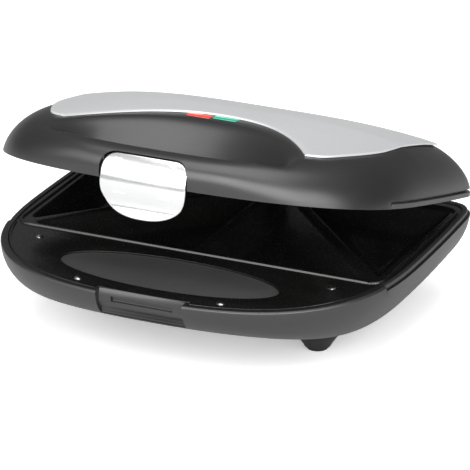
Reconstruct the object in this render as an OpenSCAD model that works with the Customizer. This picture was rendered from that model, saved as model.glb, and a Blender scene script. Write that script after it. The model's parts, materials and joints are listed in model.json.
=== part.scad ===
// Sandwich toaster with a hinged lid, a front latch and two cast cooking plates.
// Millimetres. +X is the user's right, -Y the front, +Z up, and the feet stand on Z = 0.
// The lid's pieces are drawn closed, in lid_frame's coordinates, and then swung open.

/* [Overall] */
// How far the casing stands out beyond the plate, on each side
casing_side = 7.5; // [7:0.1:10]
// How far the bowed front stands ahead of the cooking plate's rim
bow_d = 74; // [66:1:82]
// How far the rear edge stands behind the cooking plate's rim, at its middle
rear_d = 18; // [16:1:24]
// How far the rear edge falls back towards its corners
rear_sag = 10; // [6:0.5:12]
// Height of the joint line over the table
rim_h = 54; // [52:1:62]
// Depth of the base casing below the joint line
base_drop = 40; // [37:1:42]
// Wall thickness of the moulded shells
wall = 2.4; // [1.8:0.1:2.8]
// Width of the casing's rim round the front apron
rim_band = 4.3; // [3.6:0.1:5]

/* [Lid] */
// How far the lid stands open, in degrees
lid_open = 16.7; // [0:0.1:100]
// Gap between the closed lid and the base
lid_gap = 0.8; // [0.6:0.1:1.5]
// Height of the lid's crown over its lower edge
crown_h = 36.3; // [35:0.1:40]
// Height of the lid's rounded front lip
lip_h = 18.6; // [17.8:0.1:21]
// Height that the lid's top would have over its side edges
shoulder_h = 22.7; // [21:0.1:26]
// Height of the lid's top at the rear
tail_h = 25.6; // [22:0.2:28]
// How far the front lip's roll sets back, and how far its foot leans out
lip_roll = 17.7; // [16:0.1:19]
lip_lean = -8.7; // [-9:0.1:-7]
// The same along the lid's front flanks
flank_roll = 22.3; // [20:0.1:26]
flank_lean = 2.6; // [0:0.1:5]
// Roll of the lid's edge round the rear
tail_roll = 27.5; // [24:0.5:30]
// Height of the finger scoop's floor
scoop_h = 7; // [6.8:0.1:9]

/* [Silver panel] */
// Width between the panel's long sides
panel_w = 201; // [190:1:206]
// Width between the panel's two front tips
panel_tip_w = 165; // [156:1:172]
// Where the front edge's middle lies behind the plate's rim
panel_front = 30; // [28:0.5:33]
// How far the tips reach ahead of the edge's middle
panel_sweep = 56; // [48:0.5:58]
// Where the rear edge lies behind the plate's rim
panel_rear = 119; // [112:1:120]
// Thickness of the panel
panel_t = 1.1; // [0.8:0.1:1.4]

/* [Cooking plates] */
// Width over the rim bead round both pockets
plate_w = 230; // [222:1:231]
// Depth over the rim bead
plate_d = 125; // [120:1:130]
// Corner radius of the rim bead
bead_r = 10; // [6:0.5:14]
// Width of the rim bead
bead_w = 2.2; // [1.6:0.1:3]
// Thickness of the cast plate
cast_t = 2.4; // [2:0.1:3]
// Depth of the sandwich pockets
pocket_d = 13; // [10:0.5:14]
// Width of the bars between pockets
bar_w = 5; // [4:0.5:8]
// Half-length of the oval in the apron
oval_a = 67.5; // [60:0.5:72]
// Half-depth of the oval in the apron
oval_b = 22.5; // [20:0.5:24]
// Distance of the oval's centre ahead of the plate's rim
oval_y = 33; // [31:0.5:35]

/* [Latch] */
// Width of the latch
latch_w = 52; // [46:1:56]
// Height of the latch above the lid's lower edge
latch_up = 15; // [14.5:0.1:15.4]
// Length of the latch below the lid's lower edge
latch_down = 20.5; // [18:0.5:22]
// Thickness of the latch's face
latch_t = 2.2; // [1.8:0.1:2.4]
// How far the resting latch stands out from its locked place, in degrees
latch_rest = 3.5; // [3.4:0.1:6]
// Radius of the latch pin
latch_pin_r = 1.25; // [1:0.05:1.5]

/* [Hinge] */
// Distance of the hinge line behind the plate's rim
hinge_back = 27; // [26:0.5:30]
// Height of the hinge line over the joint line
hinge_up = 8; // [7.5:0.5:10]
// Distance of each hinge from the middle
hinge_x = 66; // [56:1:76]
// Radius of the hinge pins
hinge_pin_r = 2; // [1.5:0.1:2.4]
// Radius of the hinge knuckles
knuckle_r = 5.6; // [5:0.1:6]
// Width of the lid's knuckle
knuckle_w = 11; // [9:0.5:14]
// Width of each ear beside it
ear_w = 7; // [5:0.5:9]

/* [Feet] */
// Half the distance between the feet, side to side
foot_x = 69; // [62:1:74]
// Distance of the front feet behind the plate's rim
foot_front = 19; // [16:1:26]
// Distance of the rear feet behind the plate's rim
foot_rear = 104; // [98:1:108]
// Radius of a foot at its root
foot_r = 14; // [12:0.5:15]
// Radius of a foot at its tip
foot_tip_r = 8; // [7:0.25:9]
// Thickness of the rubber pads that show below the feet
pad_show = 1.6; // [1:0.1:2.4]

/* [Inside] */
// Radius of the tubular heating elements
element_r = 3.2; // [2.8:0.1:3.5]
// Radius of the assembly screws
screw_r = 2; // [1.6:0.1:2.2]
// Distance of the screws from the middle
screw_x = 40; // [36:1:44]
// Distance of the front screws behind the plate's rim
screw_front = 40; // [38:1:44]
// Distance of the rear screws behind the plate's rim
screw_rear = 86; // [82:1:88]
// Radius of the bore for the mains lead
lead_r = 3.6; // [3:0.1:4]

/* [Hidden] */

eps = 0.01;
big = 400;
fit = 0.05;
clear = 0.3;
half_w = plate_w / 2 + casing_side;
// The bow's widest line lies here behind the plate's rim, and every ring shrinks about it
waist_y = 45;
rear_y = plate_d + rear_d;
bow_p = 2.6;
bow_q = 2.75;
side_ease = 0.00039;
corner_in = 13;
notch_w = 60;
notch_d = 2.7;
hinge_y = plate_d + hinge_back;
hinge_z = rim_h + hinge_up;
open_side = 3;
tier_y = -clear / 2;
slot_h = 1.5;

// The shells are meshes, and this many profile steps keep them smooth enough
edge_steps = 7;
deck_steps = 13;

// The casing's outline in plan, right half from the front's middle to the rear's middle
function bow_y(x) = waist_y
    - (waist_y + bow_d) * pow(max(0, 1 - pow(x / half_w, bow_p)), 1 / bow_q);
function bow_x(y) = half_w
    * pow(max(0, 1 - pow((waist_y - y) / (waist_y + bow_d), bow_q)), 1 / bow_p);
function side_x(y) = half_w - side_ease * pow(y - waist_y, 2);
function tail_y(x) = rear_y - rear_sag * pow(x / half_w, 2);
turn_x = 0.78 * half_w;
corner_p0 = [side_x(rear_y - rear_sag - corner_in), rear_y - rear_sag - corner_in];
corner_p2 = [half_w - corner_in, tail_y(half_w - corner_in)];
corner_p1 = [side_x(rear_y - rear_sag), tail_y(half_w)];
function corner_pt(t) = pow(1 - t, 2) * corner_p0 + 2 * t * (1 - t) * corner_p1
    + t * t * corner_p2;
half_outline = concat(
    [for (k = [0:2]) let (x = notch_w / 2 * k / 2) [x, bow_y(x)]],
    [for (k = [0:7]) let (x = notch_w / 2 + clear + (turn_x - notch_w / 2 - clear) * k / 7)
        [x, bow_y(x)]],
    [for (k = [1:6]) let (y = bow_y(turn_x) * (1 - k / 6) - clear * k / 6) [bow_x(y), y]],
    [for (k = [0:3]) let (y = waist_y * k / 3) [bow_x(y), y]],
    [for (k = [1:3]) let (y = waist_y + (corner_p0.y - waist_y) * k / 4) [side_x(y), y]],
    [for (k = [0:4]) corner_pt(k / 4)],
    [for (k = [1:4]) let (x = corner_p2.x * (1 - k / 4)) [x, tail_y(x)]]
);
last = len(half_outline) - 1;
outline = concat(half_outline, [for (k = [last - 1:-1:1]) [-half_outline[k].x, half_outline[k].y]]);
count = len(outline);

// The same outline drawn in by a distance, which every fit round the rim uses
function inset(d) = [for (p = outline)
    [p.x * (1 - d / half_w), waist_y + (p.y - waist_y) * (1 - d / half_w)]];
function drawn_in(p, d) = [p.x * (1 - d / half_w), waist_y + (p.y - waist_y) * (1 - d / half_w)];

function limit(v) = min(1, max(0, v));
function ease(v) = let (t = limit(v)) t * t * (3 - 2 * t);
function mix(a, b, t) = a + (b - a) * t;

// A closed shell from rings of points that run from its outer skin over its rim to its inner skin
module skin(rings) {
    n = len(rings[0]);
    m = len(rings);
    polyhedron(
        points = [for (r = rings) for (p = r) p],
        faces = concat(
            [for (j = [0:m - 2]) for (i = [0:n - 1]) each let (
                a = j * n + i,
                b = j * n + (i + 1) % n,
                c = (j + 1) * n + (i + 1) % n,
                d = (j + 1) * n + i)
                [[a, b, c], [a, c, d]]],
            [[for (i = [n - 1:-1:0]) i]],
            [[for (i = [0:n - 1]) (m - 1) * n + i]]
        ),
        convexity = 8
    );
}

// A prism between two insets of the outline, optionally only behind the plate's front rim
module rim_ring(d_out, d_in, h) {
    linear_extrude(h) difference() {
        polygon(inset(d_out));
        polygon(inset(d_in));
    }
}
module behind_front(from_y = 0) {
    intersection() {
        children();
        translate([-big / 2, from_y, -big / 2]) cube([big, big, big]);
    }
}
module ahead_of(y) {
    intersection() {
        children();
        translate([-big / 2, y - big, -big / 2]) cube([big, big, big]);
    }
}
module both_sides() {
    children();
    mirror([1, 0, 0]) children();
}
module rounded_rect(w, d, r) {
    for (x = [r, w - r]) for (y = [r, d - r]) translate([x, y]) circle(r, $fn = 32);
    translate([r, 0]) square([w - 2 * r, d]);
    translate([0, r]) square([w, d - 2 * r]);
}
function oval(a, b) = [for (k = [0:47]) [a * cos(k * 7.5), b * sin(k * 7.5) - oval_y]];

// The lid swings about the hinge line, and the latch about its own pin on the lid
latch_y = bow_d - 4.5;
latch_z = 10;
shift_y = (bow_d - hinge_y - knuckle_r) / 2;
module placed() {
    translate([0, shift_y, 0]) children();
}
module on_lid() {
    placed() translate([0, hinge_y, hinge_z]) rotate([-lid_open, 0, 0])
        translate([0, -hinge_y, -hinge_z]) translate([0, 0, rim_h + lid_gap]) children();
}
module on_latch() {
    on_lid() translate([0, -latch_y, latch_z]) rotate([-latch_rest, 0, 0])
        translate([0, latch_y, -latch_z]) children();
}

// Base casing: a bowl whose wall turns in fast at the front and slowly at the sides
bowl_front_r = 20;
bowl_side_r = 37;
bowl_rear_r = 25;
bowl_slope = 20;
function sideness(p) = pow(limit(abs(p.x) / half_w), 3);
function bowl_r(p) = mix(p.y < waist_y ? bowl_front_r : bowl_rear_r, bowl_side_r, sideness(p));
bowl_turn = 90 - bowl_slope;
// Inset and drop of the bowl's wall at a step, first round the turn and then down the slope
function bowl_at(p, step) = let (r = bowl_r(p))
    step <= 1
        ? [r * (1 - cos(bowl_turn * step)), r * sin(bowl_turn * step)]
        : let (h = r * sin(bowl_turn), run = (base_drop - h) / tan(bowl_slope))
            [r * (1 - cos(bowl_turn)) + run * (step - 1), h + (base_drop - h) * (step - 1)];
function bowl_ring(step) = [for (p = outline) let (b = bowl_at(p, step), q = drawn_in(p, b.x))
    [q.x, q.y, rim_h - b.y]];
function bowl_inner_ring(step) = [for (p = outline)
    let (b = bowl_at(p, step), q = drawn_in(p, b.x + wall * (step > 1 ? 0.4 : 1)))
    [q.x, q.y, rim_h - b.y + (step > 1 ? wall : wall * sin(bowl_turn * step))]];
// The rim is wide round the apron, wider at the notch for the latch, and thin at the sides
function band_at(p) = p.y > tier_y
    ? wall
    : (abs(p.x) <= notch_w / 2 && p.y < 0 ? rim_band + notch_d : rim_band);
rim_round = 1.6;
band_h = 3.2;
function rim_inner_ring(drop) = [for (p = outline) let (q = drawn_in(p, band_at(p)))
    [q.x, q.y, rim_h - drop]];
function flat_ring(d, z) = [for (p = inset(d)) [p.x, p.y, z]];
module casing_bowl() {
    skin(concat(
        [for (step = [2, 1.5, 1, 0.8, 0.6, 0.4]) bowl_inner_ring(step)],
        [flat_ring(wall + 0.4, rim_h - band_h - 1.6)],
        [rim_inner_ring(band_h)],
        [rim_inner_ring(0)],
        [flat_ring(rim_round, rim_h)],
        [flat_ring(rim_round * 0.3, rim_h - rim_round * 0.3)],
        [flat_ring(0, rim_h - rim_round)],
        [for (k = [1:6]) bowl_ring(k / 6 * (1 - 0.12) + 0.12)],
        [bowl_ring(1.5), bowl_ring(2)]
    ));
}
base_floor = rim_h - base_drop;
floor_in = base_floor + wall;
reflector_z = rim_h - cast_t - pocket_d - 2 * element_r - 2.4;
module at_screws() {
    for (x = [-screw_x, screw_x]) for (y = [screw_front, screw_rear]) translate([x, y, 0]) children();
}
post_r = 4.5;
head_r = 3.6;
head_h = 2.4;
catch_w = latch_w + 1;
pocket_in = 5.2;
pocket_low = 16;
catch_slot_w = 38;
hook_z = 5.2;
hook_t = 2;
backing_t = 2.4;
function front_wall(h) = bow_d - bowl_front_r + sqrt(pow(bowl_front_r, 2) - h * h);
// Material behind the pocket, so the wall stays whole there
module catch_backing() {
    translate([-catch_w / 2 - 3, 0, rim_h]) rotate([90, 0, 90]) linear_extrude(catch_w + 6)
        polygon(concat(
            [for (h = [3.6:2:17.6]) [-front_wall(h) + 1.7, -h]],
            [for (h = [17.6:-2:3.6]) [max(-front_wall(h) + pocket_in, catch_back(-h)) + backing_t, -h]]));
}
// Back of the pocket: the locked latch's inner face and a running gap behind it
pocket_crease = 12.4;
pocket_play = 0.6;
// Lead-in that guides the closing latch over the pocket's edge
pocket_lead = 1.3;
function catch_back(z) = max(-bow_d + pocket_in,
    -face_y(z + lid_gap) + latch_t + (latch_z - z) * sin(latch_rest) + pocket_play);
module catch_cuts() {
    // Pocket that the latch's lower half lies in
    translate([-catch_w / 2, 0, rim_h]) rotate([90, 0, 90]) linear_extrude(catch_w) polygon([
        [-big, 1],
        [-bow_d + pocket_in + pocket_lead, 1],
        [-bow_d + pocket_in + pocket_lead, 0],
        [-bow_d + pocket_in, -2 * pocket_lead],
        for (z = [-4, -5, -6.5, -8, -9.5, -11, -pocket_crease, -pocket_low]) [catch_back(z), z],
        [-big, -pocket_low]
    ]);
    // Slot that the latch's hook enters
    translate([-catch_slot_w / 2, -bow_d, rim_h - hook_z - hook_t / 2 - 0.6])
        cube([catch_slot_w, pocket_in + 1.7, hook_t + 1.2]);
}
gland_x = 34;
gland_z = rim_h - 17;
gland_boss_r = 9;
gland_out = rear_y - 2;
module hinge_ear(x0) {
    translate([x0, hinge_y, hinge_z]) rotate([0, 90, 0]) cylinder(r = knuckle_r, h = ear_w, $fn = 48);
    translate([x0, 0, 0]) rotate([90, 0, 90]) linear_extrude(ear_w) polygon([
        [rear_y - rear_sag * 0.6 - 3.6, rim_h - 16],
        [rear_y - rear_sag * 0.6 - 3.6, rim_h - rest_h - 0.6],
        [rear_y + 1.2, rim_h - rest_h - 0.6],
        [hinge_y - knuckle_r * 0.9, hinge_z - knuckle_r * 0.43],
        [hinge_y + knuckle_r * 0.96, hinge_z - knuckle_r * 0.28],
        [rear_y + 3, rim_h - 14],
        [rear_y - 4, rim_h - 20]
    ]);
}
ear_gap = 0.4;
module hinge_bores(r) {
    translate([hinge_x - knuckle_w / 2 - ear_gap - ear_w - 1, hinge_y, hinge_z]) rotate([0, 90, 0])
        cylinder(r = r, h = knuckle_w + 2 * ear_gap + 2 * ear_w + 2, $fn = 48);
}
rest_h = 5.5;
apron_post = 18.5;
module base_casing() {
    color([0.26, 0.26, 0.27]) placed() difference() {
        union() {
            difference() {
                union() {
                    casing_bowl();
                    catch_backing();
                }
                catch_cuts();
                // The wall's top drops behind the apron and shows the frame inside
                translate([-big / 2, tier_y, rim_h - open_side]) cube([big, big, big]);
                translate([gland_x, gland_out, gland_z]) rotate([90, 0, 0])
                    cylinder(r = gland_boss_r - 0.5, h = 40, $fn = 48);
            }
            at_screws() translate([0, 0, base_floor + wall / 2])
                cylinder(r = post_r, h = reflector_z - sheet_t - base_floor - wall / 2, $fn = 32);
            // Ledges that carry the frame and the plate's apron
            both_sides() for (y = [26, 92])
                translate([half_w - 12.5, y, rim_h - 14]) cube([8, 6, 14 - rest_h]);
            both_sides() translate([26, rear_y - 18, rim_h - 16]) cube([8, 12, 16 - rest_h]);
            both_sides() translate([half_w / 2, 23 - bow_d, rim_h - apron_post])
                cylinder(r = 3.2, h = apron_post - apron_t - apron_drop, $fn = 32);
            both_sides() for (k = [0, 1]) hinge_ear(hinge_x - knuckle_w / 2 - ear_gap - ear_w
                + k * (knuckle_w + 2 * ear_gap + ear_w));
            translate([gland_x, gland_out, gland_z]) rotate([90, 0, 0])
                cylinder(r = gland_boss_r, h = 16, $fn = 48);
        }
        both_sides() hinge_bores(hinge_pin_r + fit / 2);
        translate([gland_x, gland_out + 1, gland_z]) rotate([90, 0, 0])
            cylinder(r = gland_r + fit, h = 20, $fn = 48);
        at_screws() {
            translate([0, 0, base_floor - 1]) cylinder(r = head_r + 0.3, h = head_h + 1.4, $fn = 32);
            translate([0, 0, base_floor]) cylinder(r = screw_r + 0.2, h = base_drop, $fn = 32);
        }
    }
}

// Frame: stands above the casing wall at the sides and the rear, and holds the plate's edge
frame_out = 1.5;
frame_in = rim_band + 0.1;
frame_low = 2.6;
module base_frame() {
    color([0.30, 0.30, 0.31]) placed() translate([0, 0, rim_h - rest_h]) {
        behind_front() {
            translate([0, 0, rest_h - frame_low - eps]) rim_ring(frame_out, frame_in, frame_low + eps);
            rim_ring(wall + 0.7, frame_in, rest_h - frame_low);
            rim_ring(frame_in - eps, 9, rest_h - apron_t - 0.9);
        }
    }
}

// Cooking plate: pockets, bars and bead face up, with the apron in front. The upper plate is its twin
plate_edge = rim_band + 0.35;
apron_t = cast_t;
apron_drop = 0.8;
bead_rise = 0.2;
lip_w = 1;
bead_in = bead_w / 2;
pocket_edge = 5.5;
function tri_ring(c, s) = [for (p = c) let (m = (c[0] + c[1] + c[2]) / 3) m + (p - m) * s];
// A three-sided pocket that narrows downwards in four steps
module tri_pocket(c, depth, grow) {
    steps = [[1 + grow * 1.3, grow > 0 ? -0.02 : 0.4], [1 + grow, -0.1], [0.9 + grow, -0.32], [0.74 + grow, -0.72],
        [0.6 + grow, -0.94], [0.42 + grow, -1]];
    rings = [for (s = steps) [for (p = tri_ring(c, s[0])) [p.x, p.y, s[1] * depth]]];
    skin(rings);
}
pocket_x0 = bar_w / 2;
pocket_x1 = plate_w / 2 - pocket_edge;
pocket_y0 = pocket_edge;
pocket_y1 = plate_d - pocket_edge;
bar_diag = bar_w * 0.7;
front_tri = [[pocket_x0, pocket_y0], [pocket_x1 - bar_diag * 1.4, pocket_y0],
    [pocket_x0, pocket_y1 - bar_diag * 1.4]];
rear_tri = [[pocket_x1, pocket_y1], [pocket_x0 + bar_diag * 1.4, pocket_y1],
    [pocket_x1, pocket_y0 + bar_diag * 1.4]];
module pockets(depth, grow) {
    both_sides() {
        tri_pocket(front_tri, depth, grow);
        tri_pocket(rear_tri, depth, grow);
    }
}
boss_r = 4;
boss_low = rim_h - apron_drop - reflector_z;
rivet_spots = [[44, -58.5], [91, -13]];
rivet_r = 1.4;
module plate_body() {
    difference() {
        union() {
            translate([0, 0, -apron_t]) linear_extrude(apron_t) difference() {
                polygon(inset(plate_edge));
                polygon(oval(oval_a, oval_b));
            }
            // Raised edge round the plate, stepped back where the latch comes in
            rim_lip();
            translate([-plate_w / 2, 0, -eps]) linear_extrude(apron_drop + bead_rise + eps) difference() {
                rounded_rect(plate_w, plate_d, bead_r);
                translate([bead_w, bead_w]) rounded_rect(plate_w - 2 * bead_w, plate_d - 2 * bead_w,
                    bead_r - bead_w);
            }
            pockets(pocket_d + cast_t, 0.075);
            at_screws() translate([0, 0, -boss_low]) cylinder(r = boss_r, h = boss_low - apron_t, $fn = 32);
            translate([0, plate_d / 2, -pad_low]) cylinder(r = pad_r, h = pad_low - apron_t / 2, $fn = 40);
        }
        translate([0, 0, 0]) pockets(pocket_d, 0);
        at_notch() translate([0, 0, -apron_t - 1]) rim_ring(0, plate_edge + notch_d, apron_t + 4);
        at_screws() translate([0, 0, -boss_low - 1]) cylinder(r = screw_r + fit, h = 9, $fn = 32);
        both_sides() for (s = rivet_spots) translate([s.x, s.y, -apron_t - 1])
            cylinder(r = rivet_r + fit, h = apron_t + 2, $fn = 32);
    }
}
module rim_lip() {
    ahead_of(-clear) translate([0, 0, -eps]) rim_ring(plate_edge, plate_edge + lip_w, apron_drop + eps);
    at_notch() translate([0, 0, -eps])
        rim_ring(plate_edge + notch_d, plate_edge + notch_d + lip_w, apron_drop + eps);
}
module at_notch() {
    intersection() {
        children();
        translate([-notch_w / 2, -bow_d, -big / 2]) cube([notch_w, bow_d / 2, big]);
    }
}
pad_r = 9;
pad_low = pocket_d + cast_t;
module lower_cooking_plate() {
    color([0.10, 0.10, 0.105]) placed() translate([0, 0, rim_h - apron_drop]) plate_body();
}
module upper_cooking_plate() {
    color([0.10, 0.10, 0.105]) on_lid() mirror([0, 0, 1]) translate([0, 0, -apron_drop]) plate_body();
}

// Oval inlay: fills the apron's oval, a little lower than the apron
inlay_gap = 0.25;
inlay_down = 0.9;
inlay_t = 2;
inlay_back = 0.7;
module inlay_body() {
    translate([0, 0, -inlay_down - inlay_t]) linear_extrude(inlay_t)
        polygon(oval(oval_a - inlay_gap, oval_b - inlay_gap));
    translate([0, 0, -apron_t - inlay_back]) linear_extrude(inlay_back)
        polygon(oval(oval_a + 2.5, oval_b + 2.5));
}
module apron_inlay() {
    color([0.22, 0.22, 0.225]) placed() translate([0, 0, rim_h - apron_drop]) inlay_body();
}
module upper_inlay() {
    color([0.22, 0.22, 0.225]) on_lid() mirror([0, 0, 1]) translate([0, 0, -apron_drop])
        translate([0, 0, 0]) inlay_body();
}

// Rivets: small domed heads with shanks through the apron
rivet_head = 2.6;
rivet_dome = 1.2;
rivet_long = apron_t + 1.2;
module rivet_set() {
    ball = (rivet_head * rivet_head + rivet_dome * rivet_dome) / (2 * rivet_dome);
    both_sides() for (s = rivet_spots) translate([s.x, s.y, 0]) {
        intersection() {
            translate([0, 0, rivet_dome - ball]) sphere(ball, $fn = 40);
            cylinder(r = rivet_head + 1, h = rivet_dome + 1, $fn = 40);
        }
        translate([0, 0, -rivet_long]) cylinder(r = rivet_r, h = rivet_long + eps, $fn = 32);
    }
}
module apron_rivets() {
    color("silver") placed() translate([0, 0, rim_h - apron_drop]) rivet_set();
}
module upper_rivets() {
    color("silver") on_lid() mirror([0, 0, 1]) translate([0, 0, -apron_drop]) rivet_set();
}

// Heating element: a tube bent back on itself behind the pockets, with two terminal pins
element_front = 22;
element_x = 62;
element_turn = (plate_d - 2 * element_front) / 2;
element_drop = pocket_d + cast_t + element_r + apron_drop;
pin_r = 1.2;
pin_long = 9;
module element_body() {
    for (y = [element_front, plate_d - element_front]) translate([-element_x, y, 0]) rotate([0, 90, 0]) {
        cylinder(r = element_r, h = 2 * element_x + 20, $fn = 32);
        translate([0, 0, 2 * element_x + 20 - eps]) cylinder(r = pin_r, h = pin_long, $fn = 24);
    }
    translate([-element_x, plate_d / 2, 0]) rotate([0, 0, 90]) rotate_extrude(angle = 180, $fn = 64)
        translate([element_turn, 0]) circle(element_r, $fn = 32);
}
module lower_element() {
    color([0.55, 0.5, 0.46]) placed() translate([0, 0, rim_h - element_drop]) element_body();
}
module upper_element() {
    color([0.55, 0.5, 0.46]) on_lid() translate([0, 0, element_drop]) element_body();
}

// Reflector: a thin tray behind the element, held between the posts and the plate's bosses
sheet_t = 0.8;
tray_w = 190;
tray_d = 100;
tray_lip = 3;
lid_tray_w = 124;
lid_tray_front = 20;
lid_tray_lip = 2.2;
module reflector_body(w, y0, lip) {
    d = plate_d / 2 + tray_d / 2 - y0;
    translate([-w / 2, y0, 0]) difference() {
        cube([w, d, lip]);
        translate([sheet_t, sheet_t, sheet_t]) cube([w - 2 * sheet_t, d - 2 * sheet_t, lip]);
    }
}
module lower_reflector() {
    color([0.75, 0.76, 0.78]) placed() difference() {
        translate([0, 0, reflector_z - sheet_t]) reflector_body(tray_w, (plate_d - tray_d) / 2, tray_lip);
        at_screws() translate([0, 0, reflector_z - 5]) cylinder(r = screw_r + 0.3, h = 10, $fn = 32);
    }
}
lid_sheet = boss_low + apron_drop;
module upper_reflector() {
    color([0.75, 0.76, 0.78]) on_lid() difference() {
        translate([0, 0, lid_sheet + sheet_t]) mirror([0, 0, 1])
            reflector_body(lid_tray_w, lid_tray_front, lid_tray_lip);
        at_screws() translate([0, 0, lid_sheet - 5]) cylinder(r = screw_r + 0.3, h = 10, $fn = 32);
    }
}

// Thermal fuse and thermostat, each against the pad in the middle of its plate
fuse_r = 2;
fuse_long = 12;
module thermal_fuse() {
    color([0.8, 0.78, 0.7]) placed() translate([0, plate_d / 2, rim_h - apron_drop - pad_low - fuse_r]) {
        translate([-fuse_long / 2, 0, 0]) rotate([0, 90, 0]) cylinder(r = fuse_r, h = fuse_long, $fn = 32);
        translate([-fuse_long, 0, 0]) rotate([0, 90, 0]) cylinder(r = 0.5, h = 2 * fuse_long, $fn = 16);
    }
}
stat_r = 8;
stat_h = 6;
module thermostat() {
    color([0.72, 0.66, 0.5]) on_lid() translate([0, plate_d / 2, apron_drop + pad_low]) {
        cylinder(r = stat_r, h = stat_h * 0.6, $fn = 40);
        cylinder(r = stat_r * 0.75, h = stat_h, $fn = 40);
        for (x = [-stat_r - 3, stat_r - 3]) translate([x, -2.5, stat_h * 0.25]) cube([6, 5, 0.8]);
    }
}

// Terminal block on the casing's floor, and the gland that the mains lead comes in through
block_w = 30;
block_d = 12;
block_h = 8;
block_y = 78;
module terminal_block() {
    color([0.85, 0.83, 0.76]) placed() translate([-block_w / 2, block_y, floor_in]) difference() {
        cube([block_w, block_d, block_h]);
        for (k = [0:2]) translate([block_w * (k + 0.5) / 3, -1, block_h * 0.55]) rotate([-90, 0, 0])
            cylinder(r = 2, h = block_d + 2, $fn = 24);
        for (k = [0:2]) translate([block_w * (k + 0.5) / 3, block_d / 2, block_h * 0.55])
            cylinder(r = 1.6, h = block_h, $fn = 24);
    }
}
gland_r = 5.8;
gland_flange = 7.6;
module cord_gland() {
    color([0.12, 0.12, 0.12]) placed() translate([gland_x, gland_out, gland_z]) rotate([90, 0, 0])
        difference() {
            union() {
                cylinder(r = gland_r, h = 15.5, $fn = 48);
                translate([0, 0, -2]) cylinder(r = gland_flange, h = 2, $fn = 48);
            }
            translate([0, 0, -4]) cylinder(r = lead_r, h = 24, $fn = 48);
        }
}

// Screws: the base's come up from below, and the lid's lie under the silver panel
module screw(long) {
    difference() {
        union() {
            cylinder(r = head_r, h = head_h, $fn = 40);
            cylinder(r = screw_r, h = long, $fn = 32);
        }
        for (a = [0, 90]) rotate([0, 0, a]) translate([-head_r * 0.6, -0.45, -1])
            cube([head_r * 1.2, 0.9, 2]);
    }
}
module base_screws() {
    color([0.6, 0.6, 0.62]) placed() at_screws() translate([0, 0, base_floor + 0.4])
        screw(reflector_z - base_floor + 6);
}

// Feet: tapered, and rounded off above the rubber pads
pad_in = 1.6;
module foot() {
    rotate_extrude($fn = 64) difference() {
        union() {
            polygon([[0, pad_show], [foot_tip_r - 1.2, pad_show], [foot_tip_r, pad_show + 1.2],
                [foot_r - 1.5, base_floor - 5], [foot_r, base_floor - 1.5], [foot_r, base_floor],
                [0, base_floor]]);
        }
        translate([0, -1]) square([foot_tip_r - 1.8, 1 + pad_show + pad_in]);
    }
}
module front_feet() {
    color([0.16, 0.16, 0.165]) placed() both_sides() translate([foot_x, foot_front, 0]) foot();
}
module rear_feet() {
    color([0.16, 0.16, 0.165]) placed() both_sides() translate([foot_x, foot_rear, 0]) foot();
}
module foot_pads() {
    color([0.08, 0.08, 0.08]) placed() both_sides() for (y = [foot_front, foot_rear])
        translate([foot_x, y, 0]) cylinder(r = foot_tip_r - 1.8 - fit, h = pad_show + pad_in, $fn = 48);
}

// Hinge pins, pressed in the base's ears and free in the lid's knuckles
module hinge_pins() {
    color([0.7, 0.7, 0.72]) placed() both_sides()
        translate([hinge_x - knuckle_w / 2 - ear_gap - ear_w, hinge_y, hinge_z]) rotate([0, 90, 0]) {
            cylinder(r = hinge_pin_r, h = knuckle_w + 2 * ear_gap + 2 * ear_w, $fn = 48);
            translate([0, 0, knuckle_w + 2 * ear_gap + 2 * ear_w])
                cylinder(r = hinge_pin_r * 1.6, h = 1.4, $fn = 48);
        }
}

// Lid casing: a crowned top with a bullnose lip, a finger scoop and a recess for the latch
crown_y = 54;
lip_y = bow_d - 7;
function spine(y) = y < crown_y
    ? crown_h - (crown_h - lip_h) * pow((crown_y - y) / (crown_y + lip_y), 1.02)
    : crown_h - (crown_h - tail_h) * pow((y - crown_y) / (rear_y - 8 - crown_y), 3.2);
function dome(x, y) = shoulder_h + (spine(y) - shoulder_h) * (1 - pow(abs(x) / half_w, 3.5));
function panel_edge(x) = panel_front - panel_sweep * pow(abs(x) / (panel_tip_w / 2), 2.2);
// The scoop falls from the panel's front edge and from the lip, and closes towards its ends
scoop_back = 30;
scoop_front = 11;
scoop_ahead = 13;
scoop_end = 80;
scoop_fade = 26;
function scoop(x, y) = ease((panel_edge(x) - scoop_ahead - y) / scoop_back)
    * ease((y - bow_y(min(abs(x), half_w * 0.9)) - 9.5) / scoop_front)
    * ease((scoop_end - abs(x)) / scoop_fade);
function lid_top(x, y) = mix(dome(x, y), scoop_h, scoop(x, y));
// The edge rolls over tightly at the lip, leans inward along the flanks and is full at the rear
function nose(p) = p.y < waist_y ? 1 - ease((abs(p.x) - notch_w * 0.6) / (half_w * 0.6)) : 0;
function flank(p) = 1 - ease((p.y - 20) / 90);
function roll_at(p) = mix(mix(tail_roll, flank_roll, flank(p)), lip_roll, nose(p));
function lean_at(p) = mix(flank_lean * flank(p), lip_lean, nose(p));
function edge_in(p) = roll_at(p) + lean_at(p);
function lid_ring(turn, skin_in) = [for (p = outline) let (
    d = roll_at(p) * (1 - cos(turn)) + lean_at(p) * sin(turn),
    q = drawn_in(p, d),
    r = drawn_in(p, d + skin_in * cos(turn)),
    z = lid_top(q.x, q.y) * sin(turn))
    [r.x, r.y, z - (skin_in > 0 ? lid_skin * sin(turn) : 0)]];
lid_skin = 2.8;
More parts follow.
